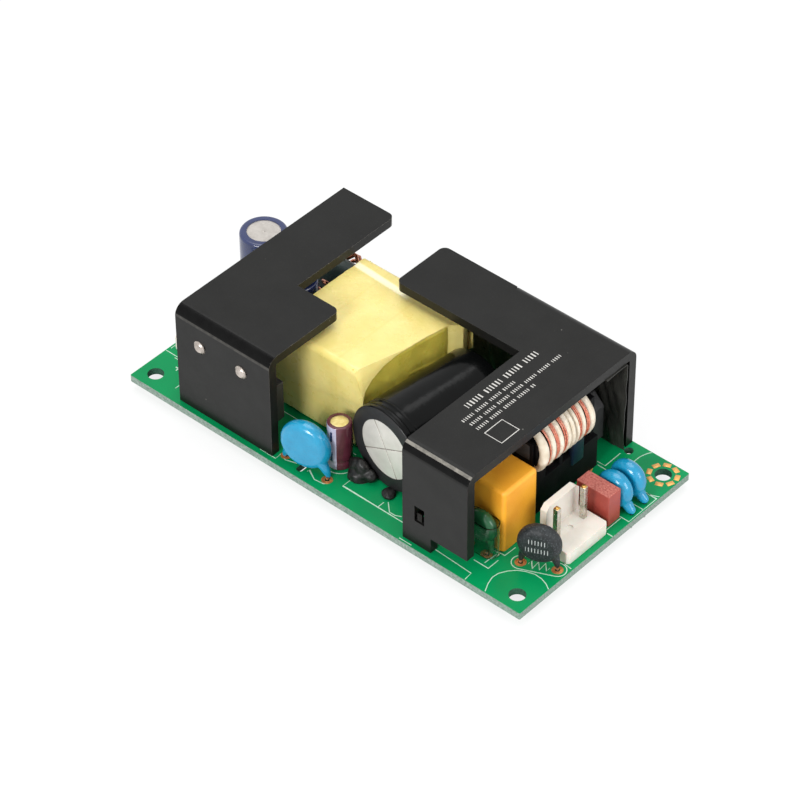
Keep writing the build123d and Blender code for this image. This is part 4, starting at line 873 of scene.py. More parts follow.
def paintSheet(name, darkBend):
    # painted highlights on the rims round the sheet, and painted light on the bend: a painted dark reflection
    # band with painted highlight lines, or a painted highlight glint over a painted dark reflection band,
    # plus painted shade low on the input sink's far wall end
    piece = painted(bpy.data.objects[name + "_shaped"], "painted_dark_reflection_and_shade", "painted_highlight", "painted_bend_highlight_line")
    low, high = nodeBox(name)
    bendZ = high.z - bend["radius"]
    for face in piece.data.polygons:
        centre, normal = face.center / mm, face.normal
        inBend = centre.y < low.y + bend["radius"] and centre.z > bendZ
        farBend = centre.y > high.y - bend["radius"] and centre.z > bendZ - bend["flat"]
        onBend = inBend or (farBend and name == "input_heatsink")
        acrossBend = inBend and abs(normal.x) < bend["flat"]
        lowOnWall = centre.y > high.y - bend["wallEnd"] and centre.z < high.z - bend["wallDrop"]
        slanted = max(abs(v) for v in normal) < bend["rimShare"]
        # output sink: a painted dark reflection band across the bend, and a painted highlight line along its
        # lower edge
        if darkBend and acrossBend and bend["lineFrom"] < normal.y < bend["darkFrom"]:
            face.material_index = 1
        elif darkBend and acrossBend and normal.y < bend["lineFrom"] and centre.z > bendZ + bend["lineDrop"]:
            face.material_index = 3
        # input sink: a painted highlight glint along the bend
        elif not darkBend and acrossBend and bend["glint"][0] < normal.y < bend["glint"][1]:
            face.material_index = 2
        # input sink: a painted dark reflection band below the glint
        elif not darkBend and acrossBend and bend["lineFrom"] < normal.y < bend["glint"][0]:
            face.material_index = 1
        # painted shade on the low end face of the far wall
        elif not darkBend and normal.x > bend["endFace"] and lowOnWall:
            face.material_index = 1
        # slanted rims get the painted highlight grey
        elif slanted and (abs(normal.x) > bend["sideways"] or not onBend):
            face.material_index = 2


paintSheet("output_heatsink", True)
paintSheet("input_heatsink", False)
print("stage 4: CAD nodes finished")


# Board: marking, pads and the ring round one hole

boardTop = nodeBox("circuit_board")[1].z

marking = {"width": 0.17, "height": 0.02, "lift": 0.004}


def ribbon(points, width, closed=False):
    # a flat line on the board with mitred corners
    count = len(points)
    left, right = [], []
    for index, point in enumerate(points):
        before = points[index - 1] if closed or index else points[index]
        after = points[(index + 1) % count] if closed or index < count - 1 else points[index]
        along = (Vector(after) - Vector(before)).normalized()
        inwards = (Vector(point) - Vector(before)).normalized() if point != before else along
        across = Vector((-along.y, along.x))
        stretch = 1 / max(0.5, abs(across.dot(Vector((-inwards.y, inwards.x)))))
        offset = across * (width / 2 * stretch)
        left.append(Vector(point) + offset)
        right.append(Vector(point) - offset)
    vertices = [(p.x, p.y) for p in left + right]
    pairs = range(count if closed else count - 1)
    faces = [(i, count + i, count + (i + 1) % count, (i + 1) % count) for i in pairs]
    return vertices, faces


def inkPiece(name, lines, blobs, settings, bottom, finishName):
    # every line and filled outline of one print as a thin raised layer
    vertices, faces = [], []
    for points, closed, width in lines:
        more, quads = ribbon(points, width or settings["width"], closed)
        faces += [tuple(index + len(vertices) for index in quad) for quad in quads]
        vertices += more
    for outline in blobs:
        faces.append(tuple(range(len(vertices), len(vertices) + len(outline))))
        vertices += outline
    base = bottom + settings["lift"]
    piece = thickened(newPiece(name, [(x, y, base) for x, y in vertices], faces), settings["height"], 1.0)
    tidyNormals(piece, 30, 0.00001)
    return dress(piece, [finishName])


def circle(centre, radius, count=40):
    return arcPoints(centre, radius, 0, 360 - 360 / count, count - 1)


holeX, holeY = 47.205, 21.8
padNear, padFar = (42.1, -14.8), (48.6, -11.8)


def stadium(first, second, radius, count=14):
    # a closed outline round two points
    axis = math.degrees(math.atan2(second[1] - first[1], second[0] - first[0]))
    ahead = arcPoints(second, radius, axis - 90, axis + 90, count)
    return ahead + arcPoints(first, radius, axis + 90, axis + 270, count)


def zigzag(first, second, teeth, height, margin):
    # a resistor sign between two pads
    along = (Vector(second) - Vector(first)).normalized()
    across = Vector((-along.y, along.x))
    start, span = Vector(first) + along * margin, (Vector(second) - Vector(first)).length - 2 * margin
    points = [start]
    for index in range(teeth * 2):
        side = height if index % 2 == 0 else -height
        points.append(start + along * (span * (index + 0.5) / (teeth * 2)) + across * side)
    points.append(start + along * span)
    return [tuple(p) for p in points]


boardLines = [
    (arcPoints((-holeX, -holeY), 6.0, -5, 95, 20), False, None),
    ([(42.1, -25.1), (41.2, -23.2), (40.7, -21.4), (40.9, -19.8), (41.8, -18.2), (43.0, -16.9),
        (44.4, -16.1), (46.2, -15.5), (47.9, -15.6), (49.4, -16.1), (50.7, -16.9)], False, None),
    (arcPoints((-holeX, holeY), 6.0, -95, 5, 20), False, None),
    (arcPoints((holeX, holeY), 6.3, 246, 302, 12), False, None),
    (arcPoints((holeX, holeY), 6.6, 148, 194, 10), False, None),
    ([(-50.6, -15.3), (-39.6, -15.3), (-39.6, -22.0)], False, None),
    ([(-45.6, -17.7), (-44.1, -17.7)], False, 0.3),
    ([(-44.85, -18.45), (-44.85, -16.95)], False, 0.3),
    ([(-16.4, -24.2), (-12.3, -24.2), (-12.4, -22.5)], False, None),
    ([(35.9, 7.2), (50.5, 7.2), (50.5, 15.6), (35.9, 15.6)], False, None),
    ([(36.0, 11.6), (50.5, 11.6)], False, None),
    ([(48.7, 2.6), (48.7, 6.9)], False, None),
    ([(49.4, 2.0), (50.7, 2.0)], False, 0.22),
    ([(37.15, 21.1), (37.2, 16.35), (35.2, 16.35)], False, None),
    ([(34.6, -15.6), (38.7, -15.4), (38.8, -12.4)], False, None),
    ([(36.3, -15.2), (37.2, -16.0), (37.1, -19.4)], False, None),
    ([(38.6, -17.2), (38.6, -20.1), (35.0, -20.1)], False, None),
    ([(27.4, -22.8), (37.0, -23.2), (37.2, -25.2)], False, None),
    ([(20.5, -24.95), (23.6, -24.95)], False, None),
    ([(2.8, -19.1), (2.8, -21.35), (19.6, -21.35)], False, None),
    ([(11.8, -19.6), (11.8, -21.3)], False, None),
    ([(12.4, -19.0), (14.4, -20.9), (15.8, -20.9), (17.0, -20.3)], False, None),
    ([(-24.0, -13.15), (-1.2, -13.15)], False, None),
    (stadium(padNear, padFar, 1.8), True, None),
    (zigzag(padNear, padFar, 3, 1.0, 1.5), False, None),
    (circle((-1.9, -16.9), 3.0), True, None),
    ([(-12.1, -21.6), (-12.3, -22.2), (-12.0, -22.8), (-10.6, -23.25), (-8.2, -22.5)], False, None),
    ([(-5.2, -22.9), (-5.1, -22.3), (-2.6, -23.65), (-0.4, -23.4), (0.15, -22.6), (0.0, -21.7),
        (-0.7, -21.2)], False, None),
    ([(48.6, -9.7), (50.4, -9.9)], False, None),
    ([(-50.3, -14.2), (-50.3, 2.6), (-41.0, 2.6)], False, None),
    (circle((-44.3, 7.48), 5.6, 56), True, None),
    ([(-10.8, 16.6), (-3.2, 16.6), (-3.2, 22.4), (-10.8, 22.4)], True, None),
]
dotOutline = arcPoints((-39.0, 21.5), 0.6, 0, 340, 16)
inkPiece("board_marking", boardLines, [dotOutline], marking, boardTop, "silkscreen_ink")

padRing = {"inner": 0.5, "outer": 1.15, "height": 0.035, "bigInner": 0.85, "bigOuter": 1.5}
ringPads = {"count": 8, "radius": 2.8, "length": 1.55, "width": 1.05}


def annulus(name, inner, outer, height, segments=28):
    profile = [(inner, 0), (outer, 0), (outer, height * 0.7), (outer - height, height), (inner, height),
        (inner, 0)]
    return lathe(name, profile, segments, Matrix.Identity(4))


topLeads = islands("disc_capacitor_leads") + islands("input_part_leads")
topPads = [(low + high) / 2 for low, high in topLeads]
discCorner = nodeBox("line_capacitor_front")[0]
discMargin, farthestPad = 0.5, 20


def openPad(p):
    # the leads of the two discs in the far corner, and any at the far edge, get no ring
    inCorner = p.x > discCorner.x - discMargin and p.y > discCorner.y - discMargin
    return p.y < farthestPad and not inCorner


padPlaces = [(p.x, p.y, boardTop) for p in topPads if openPad(p)]
leadPad = annulus("padPattern", padRing["inner"], padRing["outer"], padRing["height"])
dress(copies("lead_pads", leadPad, padPlaces, finishes["flux_pads"]))
pinNodes = ("output_header_pins", "input_header_pins", "transformer_pins", "choke_pins")
leadCentres = [(low + high) / 2 for name in pinNodes for low, high in islands(name)]
pinPad = annulus("pinPadPattern", padRing["bigInner"], padRing["bigOuter"], padRing["height"])
pinPlaces = [(p.x, p.y, boardTop) for p in leadCentres]
dress(copies("pin_pads", pinPad, pinPlaces, finishes["bare_pads"]))
padTurns = [2 * math.pi * (i + 0.5) / ringPads["count"] for i in range(ringPads["count"])]
padSpots = [(holeX + ringPads["radius"] * math.cos(t), holeY + ringPads["radius"] * math.sin(t), boardTop)
    for t in padTurns]
padPattern = boxPiece("ringPadPattern", (-ringPads["width"] / 2, -ringPads["length"] / 2, 0),
    (ringPads["width"] / 2, ringPads["length"] / 2, padRing["height"]), 0.015, 1)
dress(copies("hole_ring_pads", padPattern, padSpots, finishes["bare_pads"], padTurns))
print("stage 5: board marking and pads")


# Print on the input plate: plain rows of dashes and one outline

plateInk = {"height": 0.01, "lift": 0.002, "width": 0.3}
plateTop = nodeBox("input_heatsink")[1].z
sheetThickness = 2.0
dashRows = [  # place across, start, end, height of the ticks, their widest and their gap
    (22.7, -9.0, 11.6, 1.3, 0.34, 0.52),
    (25.2, -12.6, 2.6, 0.72, 0.24, 0.36),
    (26.9, -12.3, 13.8, 0.72, 0.24, 0.36),
    (28.6, -12.4, 4.0, 0.72, 0.24, 0.36),
]


def dashes():
    # rows of plain ticks of uneven width
    blobs = []
    for row, (x, start, end, height, widest, gap) in enumerate(dashRows):
        y, index = start, 0
        while y < end:
            width = widest * (0.55 + 0.45 * abs(math.sin(2.3 * index + row)))
            blobs.append([(x, y), (x + height, y), (x + height, y + width), (x, y + width)])
            y += width + gap * (2.6 if index % 6 == 5 else 1)
            index += 1
    return blobs


plateOutline = [(30.7, -12.3), (30.7, -7.3), (34.9, -7.3), (34.9, -12.3)]
inkPiece("plate_print", [(plateOutline, True, 0.16)], dashes(), plateInk, plateTop, "plate_ink")


# Screws

screw = {"radius": 1.5, "shorter": 0.6, "tipTaper": 0.35, "threadPitch": 0.5, "threadDepth": 0.16,
    "threadFrom": 0.25, "threadShorter": 0.3, "pointsPerTurn": 24, "headRound": 0.8, "headHeight": 2.0,
    "socketRadius": 0.9}


def screwPieces():
    made = []
    for low, high in islands("rectifier_screws"):
        x, z = (low.x + high.x) / 2, (low.z + high.z) / 2
        tip, back = low.y + screw["shorter"], high.y
        headRadius, core = (high.x - low.x) / 2, screw["radius"] - screw["threadDepth"]
        head = back - screw["headHeight"]
        profile = [(0, tip), (core - screw["tipTaper"], tip), (core, tip + screw["tipTaper"]), (core, head),
            (headRadius, head), (headRadius, back - screw["headRound"])]
        dome = screw["headRound"]
        profile += arcPoints((headRadius - dome, back - dome), dome, 30, 90, 2)
        socket = screw["socketRadius"]
        profile += [(socket, back), (socket, back - socket), (0, back - socket)]
        place = Matrix.Translation((x, 0, z)) @ Matrix.Rotation(math.radians(-90), 4, "X")
        made.append(painted(lathe("screwBody", profile, 48, place), "nickel_screws"))
        perTurn = screw["pointsPerTurn"]
        steps = int((head - tip - screw["threadShorter"]) / screw["threadPitch"] * perTurn)
        path = []
        for index in range(steps):
            angle = 2 * math.pi * index / perTurn
            y = tip + screw["threadFrom"] + screw["threadPitch"] * index / perTurn
            path.append((x + core * math.cos(angle), y, z + core * math.sin(angle)))
        made.append(wires("screwThread", [path], screw["threadDepth"], finishes["nickel_screws"], 6))
    return made


dress(joined("rectifier_screws_threaded", screwPieces()), (), ["rectifier_screws"])
print("stage 6: screws")


# Dipped discs

dipped = {"voxel": 0.16, "rounds": 10, "wander": 0.04, "wanderSize": 1.4, "legOut": 0.62, "legDown": 0.45,
    "knee": 0.36, "steps": 18}
discs = {  # turn of the disc in degrees, radius, thickness, lead reach, and radii down each coated leg
    "isolation_capacitor": {"turn": 5.0, "face": 12.0, "radius": 5.5, "thickness": 3.4, "reach": 5.35,
        "leg": (1.25, 1.0, 0.7, 0.45)},
    "line_capacitor_front": {"turn": 0.0, "radius": 4.0, "thickness": 3.3, "reach": 3.75, "shift": 0.4,
        "leg": (1.2, 1.05, 0.95, 0.85)},
    "line_capacitor_rear": {"turn": 0.0, "radius": 4.0, "thickness": 3.3, "reach": 3.75, "shift": 0.4,
        "leg": (1.2, 1.05, 0.95, 0.85)},
    "thermistor_body": {"turn": 24.4, "radius": 4.4, "thickness": 3.4, "reach": 3.6,
        "leg": (1.1, 0.85, 0.6, 0.4)},
    "varistor_body": {"turn": 0.0, "radius": 3.6, "thickness": 2.7, "reach": 2.5,
        "leg": (0.9, 0.7, 0.6, 0.5)},
}


def lensDisc(centre, radius, thickness, turn):
    # a disc with a full, rounded rim
    profile = [(0, -thickness / 2)]
    for index in range(1, 12):
        angle = math.pi * index / 12 - math.pi / 2
        rim = thickness * 0.5
        reach = radius - rim + rim * math.cos(angle) if abs(angle) < 1.5 else radius - rim
        profile.append((reach, rim * math.sin(angle)))
    profile.append((0, thickness / 2))
    upright = Matrix.Rotation(math.radians(90), 4, "X")
    return lathe("lens", profile, 48, Matrix.Translation(centre) @ Matrix.Rotation(turn, 4, "Z") @ upright)


def dippedDisc(node, look, seed):
    # the disc and its coated legs as one smooth dipped skin
    low, high = nodeBox(node)
    turn, radius = math.radians(look["turn"]), look["radius"]
    centre = Vector(((low.x + high.x) / 2, (low.y + high.y) / 2, high.z - radius))
    if "shift" in look:
        centre.x = low.x + radius
    along = Vector((math.cos(turn), math.sin(turn), 0))
    parts = [lensDisc(centre, radius, look["thickness"], math.radians(look.get("face", look["turn"])))]
    for side in (-1, 1):
        lead = along * (side * look["reach"] + look.get("shift", 0.0))
        foot = Vector((centre.x, centre.y, low.z)) + lead
        start = centre + along * side * radius * dipped["legOut"]
        start -= Vector((0, 0, radius * dipped["legDown"]))
        knee = Vector((foot.x, foot.y, low.z + dipped["knee"] * (start.z - low.z)))
        for index in range(dipped["steps"] + 1):
            share = index / dipped["steps"]
            a, b = start.lerp(knee, share), knee.lerp(foot, share)
            point = a.lerp(b, share)
            place = share * (len(look["leg"]) - 1)
            first = min(int(place), len(look["leg"]) - 2)
            reach = look["leg"][first] + (look["leg"][first + 1] - look["leg"][first]) * (place - first)
            point.z = max(point.z, low.z + reach)
            parts.append(ball(point, (reach,) * 3))
    piece = unionPiece(node + "_dipped", parts, dipped["voxel"], dipped["rounds"])
    for vertex in piece.data.vertices:
        point = vertex.co / mm
        wave = rippled(point, dipped["wanderSize"], seed)
        vertex.co = (point + vertex.normal * dipped["wander"] * wave) * mm
    piece.data.materials.clear()
    return dress(piece, [slotOf[node]], [node])


for seed, (nodeName, discLook) in enumerate(discs.items()):
    dippedDisc(nodeName, discLook, seed + 1)
print("stage 7: dipped discs")


# Electrolytic capacitors

bulk = {"yaw": 6.03, "length": 25.0, "rimRadius": 0.5, "sleeve": 0.2, "ventRadius": 6.54,
    "ventLines": (-28.5, 61.5), "ventDepth": 0.16, "ventWidth": 0.3, "grooveAt": 2.0, "grooveDepth": 0.22,
    "grooveHalf": 0.6, "grooveReach": 1.1, "beadAt": (1.25, 2.75), "bead": 0.07, "beadWidth": 0.1,
    "bodyFrom": 3.2, "bodyStep": 1.15, "shrink": 0.03, "dashAngles": (138, 147), "dashes": 6,
    "dashPitch": 3.1, "firstDash": (4.5, 6.1)}


def bulkPlace():
    low, high = nodeBox("bulk_capacitor_sleeve")
    yaw = math.radians(bulk["yaw"])
    along = Vector((math.sin(yaw), math.cos(yaw), 0))
    near = (low + high) / 2 - along * bulk["length"] / 2
    up = Vector((0, 0, 1))
    side = along.cross(up)
    basis = Matrix((up, side, along)).transposed().to_4x4()
    return Matrix.Translation(near) @ basis, (high.z - low.z) / 2


def pressedDisc(name, radius, height, lines, width, depth, place, segments=360, rings=36):
    # a can's end with straight lines pressed into it
    points, faces = [(0, 0, height + depth)], []
    for ring in range(1, rings + 1):
        r = radius * ring / rings
        for index in range(segments):
            angle = 2 * math.pi * index / segments
            x, y = r * math.cos(angle), r * math.sin(angle)
            dent = 0.0
            for line in lines:
                turn = math.radians(line)
                away = abs(x * math.cos(turn) + y * math.sin(turn))
                dent = max(dent, depth * max(0.0, 1 - away / width * 2))
            points.append((x, y, height + dent))
    for index in range(segments):
        after = (index + 1) % segments
        faces.append((0, 1 + after, 1 + index))
        for ring in range(rings - 1):
            first = 1 + ring * segments
            faces.append((first + index, first + after, first + segments + after, first + segments + index))
    piece = newPiece(name, [place @ Vector(p) for p in points], faces)
    for polygon in piece.data.polygons:
        dents = [points[index][2] - height for index in polygon.vertices]
        # faces down in the pressed lines get the darker finish, painted shade in the grooves
        polygon.material_index = 1 if sum(dents) / len(dents) > depth * 0.3 else 0
    return piece


def bulkPieces():
    place, radius = bulkPlace()
    inner = radius - bulk["sleeve"]
    rim, length = bulk["rimRadius"], bulk["length"]
    rimArc = [(radius - rim + rim * math.cos(math.radians(a)), rim - rim * math.sin(math.radians(a)))
        for a in (90, 70, 50, 30, 10, 0)]
    groove = []
    for step in range(33):
        height = bulk["grooveAt"] - bulk["grooveReach"] + 2 * bulk["grooveReach"] * step / 32
        offset, half = height - bulk["grooveAt"], bulk["grooveHalf"]
        dip = 0.0
        if abs(offset) < half:
            dip = bulk["grooveDepth"] * max(0.0, math.cos(offset * math.pi / (2 * half)))
        bead = sum(bulk["bead"] * math.exp(-((height - at) / bulk["beadWidth"]) ** 2)
            for at in bulk["beadAt"])
        groove.append((radius - dip - bulk["bead"] + bead, height))
    body = [(radius - bulk["shrink"] * math.sin(i * 1.7) ** 2, bulk["bodyFrom"] + i * bulk["bodyStep"])
        for i in range(17)]
    endArc = arcPoints((radius - rim, length - rim), rim, 0, 90, 3)
    inside = [(radius - 2.0, length), (radius - 2.0, length - 0.2), (inner, length - 0.3), (inner, 0.3),
        (bulk["ventRadius"], 0.2)]
    profile = [(bulk["ventRadius"], 0.2), (bulk["ventRadius"], 0.02), (bulk["ventRadius"] + 0.15, 0.0)]
    profile += [(radius - rim - 0.6, 0.0)] + rimArc + groove + body + endArc + inside

    def wobble(angle, height):
        calm = min(1.0, max(0.0, (height - bulk["bodyFrom"]) / 2))
        around = Vector((math.cos(angle) * 1.5, math.sin(angle) * 1.5, height / 5))
        return bulk["shrink"] * calm * noise.noise(around)

    sleeve = lathe("bulk_capacitor_sleeve_shrunk", profile, 160, place, None, wobble)
    for face in sleeve.data.polygons:
        local = place.inverted() @ (face.center / mm)
        face.material_index = 1 if local.z < 0.12 and math.hypot(local.x, local.y) < radius - 0.12 else 0
    dress(sleeve, ["black_sleeve", "sleeve_end"], ["bulk_capacitor_sleeve"])
    (start, end), pitch = bulk["firstDash"], bulk["dashPitch"]
    dashHeights = [(start + pitch * i, end + pitch * i) for i in range(bulk["dashes"])]
    marks = [curvedPatch("sleeveDash", place, radius, bulk["dashAngles"], pair) for pair in dashHeights]
    for mark in marks:
        painted(mark, "plate_ink")
    dress(joined("bulk_capacitor_dashes", marks))
    face = pressedDisc("bulkFace", bulk["ventRadius"] + 0.1, 0.19, bulk["ventLines"], bulk["ventWidth"],
        bulk["ventDepth"], place)
    painted(face, "can_aluminium", "vent_groove_painted_shade")
    wall = [(bulk["ventRadius"] + 0.1, 0.19), (inner - 0.4, 0.25), (inner - 0.02, 0.7),
        (inner - 0.02, length - 0.8), (inner - 0.6, length - 0.3), (7.6, length - 0.3), (7.4, length - 0.9),
        (0, length - 0.9)]
    shell = painted(lathe("bulkShell", wall, 96, place), "can_aluminium")
    can = tidyNormals(joined("bulk_capacitor_can_pressed", [face, shell]), 60)
    dress(can, (), ["bulk_capacitor_can"])


bulkPieces()

drawnCan = {"wall": 0.18, "rimShare": 0.14, "waistFrom": 1.2, "waistHeight": 1.3, "shrink": 0.03,
    "markHalf": 5, "markRows": (0.2, 0.66), "markShare": 0.22, "markLift": 0.07}
uprightCans = {
    "bias_capacitor": {"openShare": 0.72, "stripe": (205, 297), "marks": 272, "face": "cream_vent",
        "stripeLook": "stripe_lavender", "slot": "maroon_sleeve", "waist": 0.16, "nipple": 0.0},
    "output_capacitor": {"openShare": 0.7, "stripe": (60, 100), "face": "cap_top",
        "stripeLook": "stripe_grey", "slot": "navy_sleeve", "waist": 0.25, "nipple": 0.12},
    "filter_capacitor": {"openShare": 0.7, "stripe": (150, 200), "face": "can_aluminium",
        "stripeLook": "stripe_grey", "slot": "navy_sleeve", "waist": 0.2, "nipple": 0.12},
}


def uprightPieces(name, look):
    low, high = nodeBox(name + "_sleeve")
    radius, height = (high.x - low.x) / 2, high.z - low.z
    place = Matrix.Translation(((low.x + high.x) / 2, (low.y + high.y) / 2, low.z))
    opening, wall, rim = radius * look["openShare"], drawnCan["wall"], radius * drawnCan["rimShare"]
    rolled = arcPoints((radius - rim, height - rim), rim, 0, 90, 6)
    foot = arcPoints((radius - rim, rim), rim, -90, 0, 3)
    waist = [(radius - look["waist"] * math.sin(math.pi * i / 8) ** 2,
        drawnCan["waistFrom"] + drawnCan["waistHeight"] * i / 8) for i in range(9)]
    profile = [(radius * 0.6, 0.0)] + foot + waist + rolled
    profile += [(opening, height), (opening - 0.02, height - wall)]
    profile += [(radius - wall - 0.3, height - wall - 0.1), (radius - wall, height - rim),
        (radius - wall, rim), (radius * 0.6, wall), (radius * 0.6, 0.0)]
    start, end = (math.radians(a) for a in look["stripe"])

    def stripeAt(angle, z):
        return 1 if start < angle < end and z < height - rim * 0.6 else 0

    def wobble(angle, z):
        return drawnCan["shrink"] * noise.noise(Vector((math.cos(angle) * 2, math.sin(angle) * 2, z / 3)))

    sleeve = lathe(name + "_sleeve_shrunk", profile, 96, place, stripeAt, wobble)
    dress(sleeve, [look["slot"], look["stripeLook"]], [name + "_sleeve"])
    inner = radius - wall - 0.02
    top = height - wall - 0.02
    sunk = top - 0.03
    can = [(0, 0.25), (inner - 0.4, 0.25), (inner, 0.7), (inner, top - 0.6), (inner - 0.35, top - 0.1),
        (opening * 0.9, top), (opening * 0.5, sunk), (0.3, sunk), (0.2, sunk + look["nipple"]),
        (0, sunk + look["nipple"])]
    middle = look.get("marks", (look["stripe"][0] + look["stripe"][1]) / 2)
    markAngles = (middle - drawnCan["markHalf"], middle + drawnCan["markHalf"])
    markHeights = [(height * s, height * (s + drawnCan["markShare"])) for s in drawnCan["markRows"]]
    marks = [curvedPatch("minusMark", place, radius - 0.02, markAngles, pair, drawnCan["markLift"])
        for pair in markHeights]
    for mark in marks:
        painted(mark, "navy_sleeve")
    dress(joined(name + "_minus_marks", marks))
    metalCan = lathe(name + "_can_drawn", can, 64, place)
    dress(metalCan, [look["face"]], [name + "_can"])


for canName, canLook in uprightCans.items():
    uprightPieces(canName, canLook)
print("stage 8: capacitors")


# Transformer tape

# roof and side edges of the wrap, from the photograph's folds
tape = {"corner": 1.2, "thickness": 0.22, "step": 0.45, "waviness": 0.13, "clearance": 0.3, "farEdge": 3.0,
    "farFlare": 1.5, "flareFrom": 12.7, "foldTop": (-2.19, 21.09), "foldTip": (-0.25, 15.63),
    "foldEnd": (0.9, -0.4), "facetGrid": (30, 12), "columns": 64, "nearSide": -12.0, "flareReach": 1.5,
    "coreMargin": 0.1, "calmEdge": 1.5}
roofEdge = [(-0.4, 0.9), (4.8, 1.47), (9.95, 2.52), (10.5, 3.0), (12.1, 4.5)]  # y and x of the free edge
# y, x and z of the folded corner's free edge
facetEdge = [(-12.0, -0.2, 15.6), (-11.1, -0.53, 17.15), (-9.08, -0.53, 18.84), (-5.99, -0.22, 20.51),
    (-3.12, 0.29, 21.44), (-0.37, 0.9, 22.0)]
panelEdge = [(-12.0, -0.3), (-10.0, -0.55), (-6.0, -0.25), (-3.0, 0.3), (0.0, 0.8), (4.8, 1.4), (9.95, 2.4),
    (12.1, 2.6)]


def between(table, y, column=1):
    # a value read between the rows of a table
    for before, after in zip(table, table[1:]):
        if y <= after[0]:
            share = min(1.0, max(0.0, (y - before[0]) / (after[0] - before[0])))
            return before[column] + (after[column] - before[column]) * share
    return table[-1][column]


def roofFold(y):
    # where the roof ends along the folded corner
    topX, (endX, endY) = tape["foldTop"][0], tape["foldEnd"]
    return topX + (y - tape["nearSide"]) * (endX - topX) / (endY - tape["nearSide"])


def tapeEdge(y, z, roof):
    # the tape's free end at a place round the loop
    (topX, topZ), (tipX, tipZ) = tape["foldTop"], tape["foldTip"]
    onRoof = z > roof - tape["corner"] - 0.01
    if onRoof:
        return roofFold(y) if y < tape["foldEnd"][1] else between(roofEdge, y)
    if y < 0:
        return topX + (tipX - topX) * min(1.0, max(0.0, (topZ - z) / (topZ - tipZ)))
    flare = min(1.0, max(0.0, (z - tape["flareFrom"]) / tape["flareReach"]))
    return tape["farEdge"] + tape["farFlare"] * flare


def roundedLoop(y0, y1, z0, z1, radius, step):
    # points (y, z) of a rounded rectangle, evenly spaced
    corners = [((y1 - radius, z0 + radius), -90), ((y1 - radius, z1 - radius), 0),
        ((y0 + radius, z1 - radius), 90), ((y0 + radius, z0 + radius), 180)]
    raw = []
    for centre, start in corners:
        raw += arcPoints(centre, radius, start, start + 90, 6)
    points = []
    for index, point in enumerate(raw):
        after = raw[(index + 1) % len(raw)]
        span = math.hypot(after[0] - point[0], after[1] - point[1])
        pieces = max(1, round(span / step))
        dy, dz = after[0] - point[0], after[1] - point[1]
        points += [(point[0] + dy * i / pieces, point[1] + dz * i / pieces) for i in range(pieces)]
    return points


bulkSpot = bulkPlace()


def bulkFlank(y, z):
    # how far the bulk capacitor reaches towards the transformer at a place
    place, radius = bulkSpot
    near = place.translation
    axisX = near.x + (y - near.y) * math.tan(math.radians(bulk["yaw"]))
    rise = z - near.z
    reach = radius + tape["clearance"]
    if abs(rise) >= reach or y > near.y + bulk["length"]:
        return 99.0
    return axisX - math.sqrt(reach * reach - rise * rise) / math.cos(math.radians(bulk["yaw"]))


tapeWaves = {  # depth, width and seed of each kind of unevenness
    "edge": (0.05, 1.1, 3), "start": (0.08, 1.3, 5), "broad": (0.7, 5.5, 1), "fine": (0.25, 2.0, 2)}
roofStep = {"depth": 0.14, "at": 11.2, "width": 0.8, "band": 0.4}
sideSeam = {"depth": 0.1, "height": 9.25, "slope": 0.21, "from": -22.0, "width": 0.12, "below": 3}


def waveAt(kind, point):
    depth, width, seed = tapeWaves[kind]
    return depth * rippled(point, width, seed)


def tapeFacet(low, high):
    # the near corner of the tape, folded down over the end
    rows, columns = tape["facetGrid"]
    points = []
    for row in range(rows + 1):
        y = low.y + (tape["foldEnd"][1] - 0.3 - low.y) * row / rows
        dip = max(0.0, low.y + tape["corner"] - y)
        topZ = high.z - tape["corner"] + math.sqrt(max(0.0, tape["corner"] ** 2 - dip ** 2))
        if row == 0:
            topZ = tape["foldTop"][1]
        for column in range(columns + 1):
            share = column / columns
            x = roofFold(y) + (between(facetEdge, y, 1) - roofFold(y)) * share
            z = topZ + (between(facetEdge, y, 2) - topZ) * share
            x += 0.12 * math.sin(math.pi * share) * (1 - row / rows)
            points.append((x, y, z))
    return sheetOver("tapeFacet", points, rows, columns, tape["thickness"])


